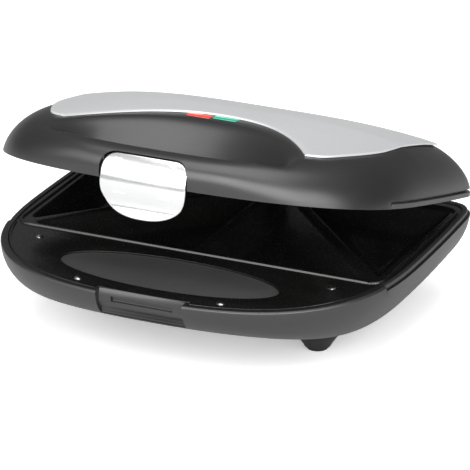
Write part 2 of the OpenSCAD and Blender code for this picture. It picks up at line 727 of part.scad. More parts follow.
// The rings end in a small flat cap in the middle, under the silver panel
cap_r = 1.8;
function lid_deck(k, down) = [for (p = outline) let (
    d = edge_in(p) + (half_w - cap_r - edge_in(p)) * pow(k / deck_steps, 1.25),
    q = drawn_in(p, d))
    [q.x, q.y, (k == deck_steps ? dome(0, waist_y - cap_r) : lid_top(q.x, q.y)) - down]];
module lid_shell() {
    skin(concat(
        [for (k = [deck_steps:-1:1]) [for (p = lid_deck(k, 0)) p]],
        [for (k = [edge_steps:-1:0]) lid_ring(90 * k / edge_steps, 0)],
        [for (h = [0, band_h]) [for (p = outline) let (q = drawn_in(p, band_at(p))) [q.x, q.y, h]]],
        [flat_ring(wall, band_h + 1.2)],
        [for (k = [2:edge_steps]) lid_ring(90 * k / edge_steps, wall)],
        [for (k = [1:deck_steps]) lid_deck(k, lid_skin)]
    ));
}
recess_w = latch_w + 1.6;
recess_up = latch_up + 1.2;
recess_back = bow_d - 9.2;
recess_low = bow_d - 5;
housing_low = 3.5;
module latch_window() {
    translate([-recess_w / 2, -big, -1]) cube([recess_w, big - recess_low, recess_up + 1]);
    translate([-recess_w / 2, -big, housing_low + 1.5])
        cube([recess_w, big - recess_back, recess_up - housing_low - 1.5]);
}
module latch_housing() {
    w = recess_w + 8;
    translate([-w / 2, -bow_d + 2.2, housing_low]) cube([w, bow_d - recess_back, 8]);
    translate([-w / 2, -bow_d + 4, housing_low])
        cube([w, bow_d - recess_back - 1.8, recess_up + 0.8 - housing_low]);
}
knuckle_low = open_side + slot_h;
module lid_knuckle() {
    translate([hinge_x - knuckle_w / 2, hinge_y, hinge_up - lid_gap]) rotate([0, 90, 0])
        cylinder(r = knuckle_r, h = knuckle_w, $fn = 48);
    translate([hinge_x - knuckle_w / 2, rear_y - rear_sag * 0.6, knuckle_low])
        cube([knuckle_w, hinge_back - rear_d + rear_sag * 0.6, hinge_up - lid_gap + knuckle_r * 0.9 - knuckle_low]);
}
lens_w = 14.6;
lens_d = 6;
lens_gap = 0.05;
// The pair of lenses lies a little to the left of the middle
lens_mid = -5;
lens_x = lens_w / 2 + 0.5;
function lens_y(s) = panel_edge(lens_mid + s * (lens_x + lens_w / 2)) - lens_d - 0.4;
module lens_block(s, grow) {
    translate([lens_mid + s * lens_x - lens_w / 2 - grow, lens_y(s) - grow, 12])
        cube([lens_w + 2 * grow, lens_d + 2 * grow, 40]);
}
module lid_casing() {
    color([0.24, 0.24, 0.25]) on_lid() difference() {
        union() {
            difference() {
                lid_shell();
                translate([-big / 2, tier_y, -big]) cube([big, big, big + open_side + slot_h]);
            }
            latch_housing();
            both_sides() lid_knuckle();
            for (x = [-screw_x, screw_x]) for (y = [screw_front, screw_rear])
                translate([x, y, lid_sheet + sheet_t])
                    cylinder(r = post_r, h = dome(x + post_r, y) - lid_sheet - sheet_t - 1, $fn = 32);
            for (s = [-1, 1]) translate([lens_mid + s * (holder_w / 2 + 1) - 1, holder_y, holder_z])
                cube([2, holder_d, dome(holder_w, holder_y) - holder_z - 1]);
        }
        latch_window();
        translate([-recess_w / 2 - 2.1, -latch_y, latch_z]) rotate([0, 90, 0])
            cylinder(r = latch_pin_r + fit / 2, h = recess_w + 4.2, $fn = 32);
        both_sides() translate([0, 0, -rim_h - lid_gap]) hinge_bores(hinge_pin_r + fit);
        at_screws() {
            translate([0, 0, lid_sheet]) cylinder(r = screw_r + 0.2, h = big, $fn = 32);
            translate([0, 0, lid_head_z]) cylinder(r = head_r + 0.3, h = big, $fn = 32);
        }
        for (s = [-1, 1]) lens_block(s, lens_gap);
        for (p = tab_spots) translate([p.x, p.y, 0]) cylinder(r = tab_r + 0.15, h = big, $fn = 24);
    }
}
lid_head_z = lid_sheet + sheet_t + 1.2;

// Lid frame: its edge shows as a strip below the slot at the lid's sides and rear
module lid_frame() {
    color([0.33, 0.33, 0.34]) on_lid() behind_front() {
        rim_ring(0.2, frame_in, open_side);
        translate([0, 0, open_side - eps]) rim_ring(wall + 0.7, frame_in, slot_h + eps);
        translate([0, 0, apron_drop + apron_t + 0.1])
            rim_ring(frame_in - eps, frame_in + 3.6, slot_h + open_side - apron_drop - apron_t - 0.1);
    }
}

// Silver panel: follows the lid's crown, with a concave front edge between two tips
panel_gap = 0.2;
panel_nx = 24;
panel_ny = 12;
tab_r = 1.8;
tab_spots = [[-75, 30], [75, 30], [-65, 105], [65, 105]];
function panel_side(v) = mix(panel_w, panel_tip_w, pow(1 - limit(v * 2.2), 2)) / 2;
function panel_pt(i, j, up) = let (
    u = i / panel_nx * 2 - 1,
    v = j / panel_ny,
    x = u * panel_side(v),
    y0 = panel_edge(min(abs(u), 1) * panel_tip_w / 2),
    y1 = panel_rear - 8 * pow(abs(u), 4),
    y = mix(y0, y1, v))
    [x, y, dome(x, y) + up];
module panel_sheet() {
    nx = panel_nx + 1;
    ny = panel_ny + 1;
    half = nx * ny;
    rim = concat(
        [for (i = [0:nx - 1]) i],
        [for (j = [1:ny - 1]) j * nx + nx - 1],
        [for (i = [nx - 2:-1:0]) (ny - 1) * nx + i],
        [for (j = [ny - 2:-1:1]) j * nx]);
    polyhedron(
        points = concat(
            [for (j = [0:panel_ny]) for (i = [0:panel_nx]) panel_pt(i, j, panel_gap)],
            [for (j = [0:panel_ny]) for (i = [0:panel_nx]) panel_pt(i, j, panel_gap + panel_t)]),
        faces = concat(
            [for (j = [0:ny - 2]) for (i = [0:nx - 2]) each let (a = j * nx + i)
                [[a, a + 1, a + nx + 1], [a, a + nx + 1, a + nx]]],
            [for (j = [0:ny - 2]) for (i = [0:nx - 2]) each let (a = half + j * nx + i)
                [[a, a + nx + 1, a + 1], [a, a + nx, a + nx + 1]]],
            [for (k = [0:len(rim) - 1]) each let (a = rim[k], b = rim[(k + 1) % len(rim)])
                [[a, a + half, b + half], [a, b + half, b]]]),
        convexity = 6
    );
}
module lid_top_panel() {
    color([0.82, 0.83, 0.84]) on_lid() {
        panel_sheet();
        for (p = tab_spots) translate([p.x, p.y, dome(p.x, p.y) - 5]) cylinder(r = tab_r, h = 5.6, $fn = 24);
    }
}

// Indicator windows, the lamps behind them and the holder that carries the lamps
lens_rise = 0.35;
module lens(s) {
    low = lamp_z + lamp_r + 0.3;
    on_lid() intersection() {
        lens_block(s, 0);
        rotate([90, 0, 90]) translate([0, 0, lens_mid + s * lens_x - lens_w / 2]) linear_extrude(lens_w)
            polygon(concat(
                [[lens_y(s), low]],
                [for (k = [0:2]) let (y = lens_y(s) + lens_d * k / 2) [y, lid_top(0, y) + lens_rise]],
                [[lens_y(s) + lens_d, low]]));
    }
}
module red_lens() {
    color([0.80, 0.18, 0.10]) lens(-1);
}
module green_lens() {
    color([0.05, 0.55, 0.40]) lens(1);
}
lamp_r = 1.5;
holder_z = lid_sheet + sheet_t + 0.3;
lamp_z = holder_z + 0.9 + lamp_r;
lamp_long = 10;
module neon_lamps() {
    color([0.9, 0.7, 0.5]) on_lid() for (s = [-1, 1])
        translate([lens_mid + s * lens_x - lamp_long / 2, lens_y(s) + lens_d / 2, lamp_z]) rotate([0, 90, 0])
            cylinder(r = lamp_r, h = lamp_long, $fn = 32);
}
holder_w = 2 * lens_w + 2;
holder_d = 6;
holder_y = (lens_y(-1) + lens_y(1) + lens_d - holder_d) / 2;
module lamp_holder() {
    color([0.88, 0.86, 0.8]) on_lid() difference() {
        translate([lens_mid - holder_w / 2, holder_y, holder_z])
            cube([holder_w, holder_d, lamp_z - holder_z]);
        for (s = [-1, 1])
            translate([lens_mid + s * lens_x - lamp_long / 2 - fit, lens_y(s) + lens_d / 2, lamp_z])
            rotate([0, 90, 0]) cylinder(r = lamp_r + fit, h = lamp_long + 2 * fit, $fn = 32);
    }
}

module lid_screws() {
    color([0.6, 0.6, 0.62]) on_lid() at_screws() translate([0, 0, lid_head_z + head_h])
        mirror([0, 0, 1]) screw(head_h + 1.2 + sheet_t + 7);
}

// Latch: a bowed face with a finger lip, a knuckle on the pin and a hook inside
module latch_pin() {
    color([0.7, 0.7, 0.72]) on_lid() translate([-recess_w / 2 - 2, -latch_y, latch_z]) rotate([0, 90, 0])
        cylinder(r = latch_pin_r, h = recess_w + 4, $fn = 32);
}
// Outline of the face seen from the front: round shoulders above and a full curve below
shoulder_w = 12;
shoulder_drop = 10;
chin_z = -2;
chin_p = 2.3;
latch_outline = concat(
    [for (a = [0:15:90]) [latch_w / 2 - shoulder_w * (1 - cos(a)), latch_up - shoulder_drop * (1 - sin(a))]],
    [for (a = [90:-15:0]) [-latch_w / 2 + shoulder_w * (1 - cos(a)), latch_up - shoulder_drop * (1 - sin(a))]],
    [for (a = [180:7.5:360]) let (c = cos(a), m = pow(pow(abs(c), chin_p) + pow(abs(sin(a)), chin_p), -1 / chin_p))
        [latch_w / 2 * c * m, chin_z + (latch_down + chin_z) * sin(a) * m]]
);
// Section of the face: bowed, then a crease and an upright finger lip
bow_z = 3;
crease_z = -12;
face_out = 1.1;
function face_y(z) = bow_d + face_out - (z > bow_z
    ? pow(z - bow_z, 2) / 50
    : pow(bow_z - max(z, crease_z), 2) / 40 + 0.6 * ease((crease_z - z) / 3));
face_steps = 18;
module latch_face() {
    intersection() {
        translate([0, -bow_d + 10, 0]) rotate([90, 0, 0]) linear_extrude(40) polygon(latch_outline);
        rotate([90, 0, 90]) translate([0, 0, -latch_w]) linear_extrude(2 * latch_w) polygon(concat(
            [for (k = [0:face_steps]) let (z = mix(latch_up + 1, -latch_down - 1, k / face_steps))
                [-face_y(z), z]],
            [for (k = [face_steps:-1:0]) let (z = mix(latch_up + 1, -latch_down - 1, k / face_steps))
                [-face_y(z) + latch_t, z]]
        ));
    }
}
latch_knuckle_r = latch_pin_r + 1.7;
latch_knuckle_w = latch_w * 0.72;
hook_w = catch_slot_w - 4;
hook_tip = bow_d - pocket_in + clear / 2;
module latch() {
    color([0.86, 0.87, 0.88]) on_latch() difference() {
        union() {
            latch_face();
            translate([-latch_knuckle_w / 2, -latch_y, latch_z]) rotate([0, 90, 0])
                cylinder(r = latch_knuckle_r, h = latch_knuckle_w, $fn = 40);
            translate([-latch_knuckle_w / 2, -face_y(latch_z) + latch_t / 2, latch_z - latch_knuckle_r * 0.7])
                cube([latch_knuckle_w, face_y(latch_z) - latch_t / 2 - latch_y, latch_knuckle_r * 1.4]);
            translate([-hook_w / 2, -face_y(-hook_z) + latch_t / 2, -hook_z - lid_gap - hook_t / 2])
                cube([hook_w, face_y(-hook_z) - latch_t / 2 - hook_tip, hook_t]);
        }
        translate([-latch_w, -latch_y, latch_z]) rotate([0, 90, 0])
            cylinder(r = latch_pin_r + fit, h = 2 * latch_w, $fn = 32);
    }
}

base_casing();
base_frame();
lower_cooking_plate();
apron_inlay();
apron_rivets();
lower_element();
lower_reflector();
thermal_fuse();
terminal_block();
cord_gland();
base_screws();
front_feet();
rear_feet();
foot_pads();
hinge_pins();
lid_casing();
lid_frame();
lid_top_panel();
red_lens();
green_lens();
neon_lamps();
lamp_holder();
upper_cooking_plate();
upper_inlay();
upper_rivets();
upper_element();
upper_reflector();
thermostat();
lid_screws();
latch_pin();
latch();
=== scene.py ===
"""Sandwich toaster: the visible pieces, their finishes and a plain studio.

Laid out as a Blender add-on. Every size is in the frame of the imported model, in metres;
the shape functions work in millimetres, as the part's source does.
"""
import json
import math

import bmesh
import bpy
from bpy.props import FloatProperty, FloatVectorProperty, PointerProperty
from mathutils import Matrix, Vector


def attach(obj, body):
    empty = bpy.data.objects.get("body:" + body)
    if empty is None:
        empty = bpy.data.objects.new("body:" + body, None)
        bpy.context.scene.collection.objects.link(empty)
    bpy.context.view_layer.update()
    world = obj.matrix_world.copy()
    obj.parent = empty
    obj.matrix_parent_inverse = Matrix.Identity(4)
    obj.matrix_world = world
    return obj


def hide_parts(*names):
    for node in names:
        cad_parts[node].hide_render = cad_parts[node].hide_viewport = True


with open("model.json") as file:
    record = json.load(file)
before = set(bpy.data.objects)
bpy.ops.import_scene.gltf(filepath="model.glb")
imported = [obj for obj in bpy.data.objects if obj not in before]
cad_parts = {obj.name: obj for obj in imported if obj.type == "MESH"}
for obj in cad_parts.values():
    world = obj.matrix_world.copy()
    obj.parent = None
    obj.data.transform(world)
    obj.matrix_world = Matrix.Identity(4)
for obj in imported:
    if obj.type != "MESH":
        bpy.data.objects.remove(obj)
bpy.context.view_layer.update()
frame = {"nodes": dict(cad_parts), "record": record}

bl_info = {
    "name": "Sandwich toaster",
    "version": (1, 0, 0),
    "blender": (4, 5, 0),
    "location": "3D View > Sidebar > Toaster",
    "description": "Builds the visible pieces of a sandwich toaster over its packed model",
    "category": "Object",
}

MM = 0.001


# Settings

def length(name, description, default, low=0.0, high=1.0):
    return FloatProperty(name=name, description=description, default=default, min=low, max=high,
                         unit="LENGTH", precision=4)


def colour(name, description, default):
    return FloatVectorProperty(name=name, description=description, default=default, size=3,
                               min=0.0, max=1.0, subtype="COLOR")


class ToasterSizes(bpy.types.PropertyGroup):
    """Sizes of the visible pieces, equal to those of the part's source"""
    casing_w: length("Casing width", "Width over the casing", 0.245)
    bow_d: length("Bow depth", "How far the bowed front stands ahead of the plate's rim", 0.074)
    rear_d: length("Rear depth", "How far the rear edge stands behind the plate's rim", 0.018)
    rim_h: length("Joint height", "Height of the joint line over the table", 0.054)
    base_drop: length("Base depth", "Depth of the base casing below the joint line", 0.040)
    wall: length("Wall", "Wall thickness of the moulded shells", 0.0024)
    rim_band: length("Rim band", "Width of the casing's rim round the apron", 0.0043)
    lid_gap: length("Lid gap", "Gap between the closed lid and the base", 0.0008)
    crown_h: length("Crown height", "Height of the lid's crown over its lower edge", 0.0363)
    lip_h: length("Lip height", "Height of the lid's rounded front lip", 0.0186)
    scoop_h: length("Scoop floor", "Height of the finger scoop's floor", 0.007)
    plate_w: length("Plate width", "Width over the rim bead", 0.230)
    plate_d: length("Plate depth", "Depth over the rim bead", 0.125)
    pocket_d: length("Pocket depth", "Depth of the sandwich pockets", 0.013)
    latch_w: length("Latch width", "Width of the latch", 0.052)
    latch_up: length("Latch above", "Height of the latch above the lid's lower edge", 0.015)
    latch_down: length("Latch below", "Length of the latch below the lid's lower edge", 0.0205)
    hinge_back: length("Hinge distance", "Distance of the hinge line behind the plate's rim", 0.027)
    hinge_up: length("Hinge height", "Height of the hinge line over the joint line", 0.008)
    lid_open: FloatProperty(name="Lid opening", description="How far the lid stands open at rest",
                            default=math.radians(16.7), min=0.0, max=2.0, subtype="ANGLE")
    latch_rest: FloatProperty(name="Latch rest", description="How far the latch stands out at rest",
                              default=math.radians(3.5), min=0.0, max=1.0, subtype="ANGLE")


class ToasterColours(bpy.types.PropertyGroup):
    """Colours of the finishes"""
    casing: colour("Casing", "Moulded shells", (0.0105, 0.0105, 0.0105))
    trim: colour("Frame", "Inner frames", (0.016, 0.016, 0.016))
    coating: colour("Coating", "Non-stick coating of the plates", (0.0062, 0.006, 0.0058))
    inlay: colour("Inlay", "Oval inlay in the apron", (0.052, 0.052, 0.0525))
    silver: colour("Silver", "Painted panel on the lid", (0.63, 0.645, 0.65))
    chrome: colour("Chrome", "Plated latch", (0.86, 0.865, 0.87))
    red: colour("Red window", "Power indicator", (0.72, 0.035, 0.012))
    green: colour("Green window", "Ready indicator", (0.0, 0.33, 0.2))
    foot: colour("Feet", "Feet of the base", (0.009, 0.009, 0.009))
    floor: colour("Floor", "Studio floor and backdrop", (0.62, 0.62, 0.62))


# Shape functions, in millimetres

def limit(v):
    return min(1.0, max(0.0, v))


def ease(v):
    t = limit(v)
    return t * t * (3 - 2 * t)


def mix(a, b, t):
    return a + (b - a) * t


def soft_min(values, k):
    return -k * math.log(sum(math.exp(-v / k) for v in values))


def spread(a, b, n):
    return [a + (b - a) * i / n for i in range(n + 1)]


class Form:
    """The toaster's shape: outline, lid's top, section of the latch, and the resting places"""

    def __init__(self, sizes):
        for key in sizes.__annotations__:
            value = getattr(sizes, key)
            setattr(self, key, value if key in ("lid_open", "latch_rest") else value / MM)
        self.half_w = self.casing_w / 2
        self.waist_y = 45.0
        self.rear_y = self.plate_d + self.rear_d
        self.rear_sag = 10.0
        self.corner_in = 13.0
        self.notch_w = 60.0
        self.notch_d = 2.7
        self.hinge_y = self.plate_d + self.hinge_back
        self.hinge_z = self.rim_h + self.hinge_up
        self.knuckle_r, self.knuckle_x, self.knuckle_w = 5.6, 66.0, 11.0
        self.ear_w, self.ear_gap = 7.0, 0.4
        self.pin_reach = self.knuckle_w / 2 + self.ear_gap + self.ear_w
        self.boss_x = 34.0
        self.foot_x, self.foot_y = 69.0, {"front": 19.0, "rear": 104.0}
        self.oval_w, self.oval_d, self.oval_y = 135.0, 45.0, -33.0
        self.shift_y = (self.bow_d - self.hinge_y - self.knuckle_r) / 2
        self.open_side = 3.0
        self.slot_h = 1.5
        self.band_h = 3.2
        self.rest_h = 5.5
        self.skin = 2.8
        self.crown_y = 54.0
        self.lip_y = self.bow_d - 7
        self.shoulder_h = 22.7
        self.tail_h = 25.6
        self.panel_w, self.panel_tip_w = 201.0, 165.0
        self.panel_front, self.panel_sweep, self.panel_rear = 30.0, 56.0, 119.0
        self.latch_y, self.latch_z = self.bow_d - 4.5, 10.0
        self.latch_t, self.break_z, self.crease_z = 2.2, 3.0, -12.0
        self.pocket_in, self.pocket_low = 5.2, 16.0
        self.pocket_play, self.pocket_lead = 0.6, 1.3
        self.edge = self.rim_band + 0.35
        self.points = self.outline()

    # Outline in plan
    def bow_at(self, x):
        t = max(0.0, 1 - (abs(x) / self.half_w) ** 2.6)
        return self.waist_y - (self.waist_y + self.bow_d) * t ** (1 / 2.75)

    def side_at(self, y):
        t = max(0.0, 1 - abs((self.waist_y - y) / (self.waist_y + self.bow_d)) ** 2.75)
        return self.half_w * t ** (1 / 2.6)

    def flank_x(self, y):
        return self.half_w - 0.00039 * (y - self.waist_y) ** 2

    def tail_at(self, x):
        return self.rear_y - self.rear_sag * (x / self.half_w) ** 2

    def outline(self):
        clear = 0.3
        turn = 0.78 * self.half_w
        notch = self.notch_w / 2
        y0 = self.rear_y - self.rear_sag
        p0 = Vector((self.flank_x(y0 - self.corner_in), y0 - self.corner_in))
        p2 = Vector((self.half_w - self.corner_in, self.tail_at(self.half_w - self.corner_in)))
        p1 = Vector((self.flank_x(y0), self.tail_at(self.half_w)))
        half = [(x, self.bow_at(x)) for x in spread(0, notch, 8)]
        half += [(x, self.bow_at(x)) for x in spread(notch + clear, turn, 26)]
        half += [(self.side_at(y), y) for y in spread(self.bow_at(turn), -clear, 18)[1:]]
        half += [(self.side_at(y), y) for y in spread(0, self.waist_y, 10)]
        half += [(self.flank_x(y), y) for y in spread(self.waist_y, p0.y, 16)[1:-1]]
        for t in spread(0, 1, 10):
            p = (1 - t) ** 2 * p0 + 2 * t * (1 - t) * p1 + t * t * p2
            half.append((p.x, p.y))
        half += [(x, self.tail_at(x)) for x in spread(p2.x, 0, 24)[1:]]
        return half + [(-x, y) for x, y in half[-2:0:-1]]

    def drawn_in(self, p, d):
        s = 1 - d / self.half_w
        return p[0] * s, self.waist_y + (p[1] - self.waist_y) * s

    def band_at(self, p):
        if p[1] > -0.15:
            return self.wall
        deep = abs(p[0]) <= self.notch_w / 2 and p[1] < 0
        return self.rim_band + (self.notch_d if deep else 0)

    # Base bowl
    def bowl_r(self, p):
        side = limit(abs(p[0]) / self.half_w) ** 3
        return mix(20.0 if p[1] < self.waist_y else 25.0, 37.0, side)

    def bowl_at(self, p, step):
        r = self.bowl_r(p)
        turn = math.radians(70)
        if step <= 1:
            return r * (1 - math.cos(turn * step)), r * math.sin(turn * step)
        h = r * math.sin(turn)
        run = (self.base_drop - h) / math.tan(math.radians(20))
        return r * (1 - math.cos(turn)) + run * (step - 1), h + (self.base_drop - h) * (step - 1)

    # Lid's top
    def spine(self, y):
        if y < self.crown_y:
            t = (self.crown_y - y) / (self.crown_y + self.lip_y)
            return self.crown_h - (self.crown_h - self.lip_h) * t ** 1.02
        t = (y - self.crown_y) / (self.rear_y - 8 - self.crown_y)
        return self.crown_h - (self.crown_h - self.tail_h) * t ** 3.2

    def dome(self, x, y):
        fall = (abs(x) / self.half_w) ** 3.5
        return self.shoulder_h + (self.spine(y) - self.shoulder_h) * (1 - fall)

    def panel_edge(self, x):
        return self.panel_front - self.panel_sweep * (abs(x) / (self.panel_tip_w / 2)) ** 2.2

    def scoop(self, x, y):
        return (ease((self.panel_edge(x) - 13 - y) / 30)
                * ease((y - self.bow_at(min(abs(x), self.half_w * 0.9)) - 9.5) / 11)
                * ease((80 - abs(x)) / 26))

    def lid_top(self, x, y):
        return mix(self.dome(x, y), self.scoop_h, self.scoop(x, y))

    def nose(self, p):
        if p[1] >= self.waist_y:
            return 0.0
        return 1 - ease((abs(p[0]) - self.notch_w * 0.6) / (self.half_w * 0.6))

    def flank(self, p):
        return 1 - ease((p[1] - 20) / 90)

    def roll_at(self, p):
        return mix(mix(27.5, 22.3, self.flank(p)), 17.7, self.nose(p))

    def lean_at(self, p):
        return mix(2.6 * self.flank(p), -8.7, self.nose(p))

    def lid_ring(self, turn, inside=0.0):
        ring = []
        stepped = math.asin((self.open_side + self.slot_h) / 22.5)
        whole = turn
        for p in self.points:
            # Behind the apron the wall ends higher up, over the slot
            turn = max(whole, stepped) if p[1] > -0.15 and not inside else whole
            d = self.roll_at(p) * (1 - math.cos(turn)) + self.lean_at(p) * math.sin(turn)
            x, y = self.drawn_in(p, d)
            z = self.lid_top(x, y) * math.sin(turn)
            if inside:
                x, y = self.drawn_in(p, d + inside * math.cos(turn))
                z -= self.skin * math.sin(turn)
            ring.append((x, y, z))
        return ring

    def lid_deck(self, t, down=0.0):
        ring = []
        for p in self.points:
            e = self.roll_at(p) + self.lean_at(p)
            x, y = self.drawn_in(p, e + (self.half_w - 0.6 - e) * t)
            ring.append((x, y, self.lid_top(x, y) - down))
        return ring

    # Latch
    def latch_half(self, z, grow=0.0):
        """Half the latch's width at a height, from its outline"""
        half, top = self.latch_w / 2 + grow, self.latch_up + grow
        wide, drop = 8.5 + grow, 9 + grow
        if z > top - drop:
            t = limit((z - (top - drop)) / drop)
            return half - wide * (1 - max(0.0, 1 - t ** 2.2) ** (1 / 2.2))
        if z > -2:
            return half
        t = limit((-2 - z) / (self.latch_down - 2 + grow))
        return half * max(0.0, 1 - t ** 2.3) ** (1 / 2.3)

    def catch_back(self, z):
        """Back of the base's pocket: the locked latch's inner face with a running gap"""
        swung = (self.latch_z - z) * math.sin(self.latch_rest)
        inner_face = -self.face_y(z + self.lid_gap) + self.latch_t + swung
        return max(-self.bow_d + self.pocket_in, inner_face + self.pocket_play)

    def face_y(self, z):
        """How far the latch's face stands out: bowed about one height, and creased near its foot"""
        crown = self.bow_d + 1.1
        if z > self.break_z:
            return crown - (z - self.break_z) ** 2 / 50
        return (crown - (self.break_z - max(z, self.crease_z)) ** 2 / 40
                - 0.6 * ease((self.crease_z - z) / 3))

    def oval(self, grow):
        """The apron's oval, wider by a margin on every side"""
        a, b = self.oval_w / 2 + grow, self.oval_d / 2 + grow
        return [(a * math.cos(t), b * math.sin(t) + self.oval_y) for t in spread(0, 2 * math.pi, 120)[:-1]]

    # Resting places
    def placed(self):
        return Matrix.Translation((0, self.shift_y, 0))

    def on_lid(self):
        return (self.placed() @ Matrix.Translation((0, self.hinge_y, self.hinge_z))
                @ Matrix.Rotation(-self.lid_open, 4, "X")
                @ Matrix.Translation((0, -self.hinge_y, -self.hinge_z + self.rim_h + self.lid_gap)))

    def on_latch(self):
        return (self.on_lid() @ Matrix.Translation((0, -self.latch_y, self.latch_z))
                @ Matrix.Rotation(-self.latch_rest, 4, "X")
                @ Matrix.Translation((0, self.latch_y, -self.latch_z)))


# Mesh tools

def mesh_piece(name, verts, faces, place, sharp=32.0):
    """A mesh object from millimetre coordinates, put in its place and shaded smooth up to an angle"""
    mesh = bpy.data.meshes.new(name)
    move = Matrix.Scale(MM, 4) @ place
    mesh.from_pydata([move @ Vector(v) for v in verts], [], faces)
    obj = bpy.data.objects.new(name, mesh)
    bpy.context.scene.collection.objects.link(obj)
    settle(obj, sharp)
    return obj


def settle(obj, sharp=32.0):
    """Outward normals, and sharp edges only where faces meet at more than an angle"""
    bm = bmesh.new()
    bm.from_mesh(obj.data)
    bmesh.ops.remove_doubles(bm, verts=bm.verts, dist=2e-6)
    bmesh.ops.recalc_face_normals(bm, faces=bm.faces)
    if bm.calc_volume(signed=True) < 0:
        bmesh.ops.reverse_faces(bm, faces=bm.faces)
    edge_limit = math.radians(sharp)
    for face in bm.faces:
        face.smooth = True
    for edge in bm.edges:
        edge.smooth = len(edge.link_faces) != 2 or edge.calc_face_angle(0.0) < edge_limit
    bm.to_mesh(obj.data)
    bm.free()


def ring_faces(n, m, caps=True, closed=True):
    """Quads between m rings of n points, with a cap on the first and the last"""
    faces = []
    for j in range(m - 1):
        for i in range(n if closed else n - 1):
            k = (i + 1) % n
            faces.append((j * n + i, j * n + k, (j + 1) * n + k, (j + 1) * n + i))
    if caps:
        faces.append(tuple(range(n)))
        faces.append(tuple(range((m - 1) * n, m * n)))
    return faces


def rings_piece(name, rings, place, sharp=32.0, caps=True):
    verts = [v for ring in rings for v in ring]
    return mesh_piece(name, verts, ring_faces(len(rings[0]), len(rings), caps), place, sharp)


def swept(name, form, keep, section, place, sharp=32.0):
    """A strip that follows the outline's kept points, with a section of (inset, height) pairs"""
    path = [p for p in form.points if keep(p)]
    start = next((i for i, p in enumerate(form.points) if not keep(p)), None)
    if start is None:
        whole = [[(*form.drawn_in(p, d), z) for p in path] for d, z in section]
        return rings_piece(name, whole + [whole[0]], place, sharp, caps=False)
    turned = form.points[start:] + form.points[:start]
    path = [p for p in turned if keep(p)]
    loops = [[(*form.drawn_in(p, d), z) for d, z in section] for p in path]
    return rings_piece(name, loops, place, sharp)


def lathe(name, profile, place, steps=96, sharp=32.0):
    """A turned solid from (radius, height) pairs that start and end on the axis"""
    loops = []
    for r, z in profile:
        r = max(r, 1e-4)
        loops.append([(r * math.cos(2 * math.pi * k / steps), r * math.sin(2 * math.pi * k / steps), z)
                      for k in range(steps)])
    return rings_piece(name, loops, place, sharp)


def rounded(points, radius, steps=5):
    """A polygon's corners rounded to a radius, as far as its sides allow"""
    out = []
    n = len(points)
    for i in range(n):
        a, b, c = Vector(points[i - 1]), Vector(points[i]), Vector(points[(i + 1) % n])
        r = radius[i] if isinstance(radius, (list, tuple)) else radius
        u, v = a - b, c - b
        reach = min(r, u.length * 0.48, v.length * 0.48)
        if reach < 1e-6:
            out.append(tuple(b))
            continue
        s, e = b + u.normalized() * reach, b + v.normalized() * reach
        for t in spread(0, 1, steps):
            out.append(tuple((1 - t) ** 2 * s + 2 * t * (1 - t) * b + t * t * e))
    return out


def slab(name, polys, z0, z1, place, bevel=0.0, sharp=40.0):
    """A flat plate from closed outlines, the first its rim and the others its holes"""
    curve = bpy.data.curves.new(name, "CURVE")
    curve.dimensions = "2D"
    curve.fill_mode = "BOTH"
    for poly in polys:
        spline = curve.splines.new("POLY")
        spline.points.add(len(poly) - 1)
        for point, (x, y) in zip(spline.points, poly):
            point.co = (x * MM, y * MM, 0, 1)
        spline.use_cyclic_u = True
    curve.extrude = (abs(z1 - z0) / 2 - bevel) * MM
    curve.bevel_depth = bevel * MM
    curve.bevel_resolution = 3 if bevel else 0
    curve.offset = -bevel * MM
    temp = bpy.data.objects.new(name, curve)
    bpy.context.scene.collection.objects.link(temp)
    bpy.context.view_layer.update()
    mesh = bpy.data.meshes.new_from_object(temp.evaluated_get(bpy.context.evaluated_depsgraph_get()))
    bpy.data.objects.remove(temp)
    lift = Matrix.Translation((0, 0, (z0 + z1) / 2))
    mesh.transform(Matrix.Scale(MM, 4) @ place @ lift @ Matrix.Scale(1 / MM, 4))
    mesh.name = name
    obj = bpy.data.objects.new(name, mesh)
    bpy.context.scene.collection.objects.link(obj)
    settle(obj, sharp)
    return obj


def joined(name, pieces):
    """Several meshes as one object"""
    bm = bmesh.new()
    for piece in pieces:
        bm.from_mesh(piece.data)
        bpy.data.objects.remove(piece)
    mesh = bpy.data.meshes.new(name)
    bm.to_mesh(mesh)
    bm.free()
    obj = bpy.data.objects.new(name, mesh)
    bpy.context.scene.collection.objects.link(obj)
    return obj


def cut(obj, cutters, sharp=32.0):
    """Takes the cutters away from the piece"""
    for cutter in cutters:
        mod = obj.modifiers.new("cut", "BOOLEAN")
        mod.operation = "DIFFERENCE"
        mod.solver = "EXACT"
        mod.object = cutter
    bpy.context.view_layer.update()
    mesh = bpy.data.meshes.new_from_object(obj.evaluated_get(bpy.context.evaluated_depsgraph_get()))
    obj.modifiers.clear()
    old, obj.data = obj.data, mesh
    bpy.data.meshes.remove(old)
    mesh.name = obj.name
    for cutter in cutters:
        bpy.data.objects.remove(cutter)
    settle(obj, sharp)
    return obj


def side_prism(name, section, x0, x1, place, sharp=32.0):
    """A prism along X from a closed (y, z) section"""
    loops = [[(x, y, z) for y, z in section] for x in (x0, x1)]
    return rings_piece(name, loops, place, sharp)


def rod(name, centre, axis, r, h, place, bevel=0.3, steps=64):
    """A turned rod with eased ends, along X, Y or Z from its centre point"""
    turn = {"X": Matrix.Rotation(math.pi / 2, 4, "Y"), "Y": Matrix.Rotation(-math.pi / 2, 4, "X"),
            "Z": Matrix.Identity(4)}[axis]
    profile = [(0, 0), (r - bevel, 0), (r - bevel * 0.3, bevel * 0.3), (r, bevel), (r, h - bevel),
               (r - bevel * 0.3, h - bevel * 0.3), (r - bevel, h), (0, h)]
    return lathe(name, profile, place @ Matrix.Translation(centre) @ turn, steps)


# Materials

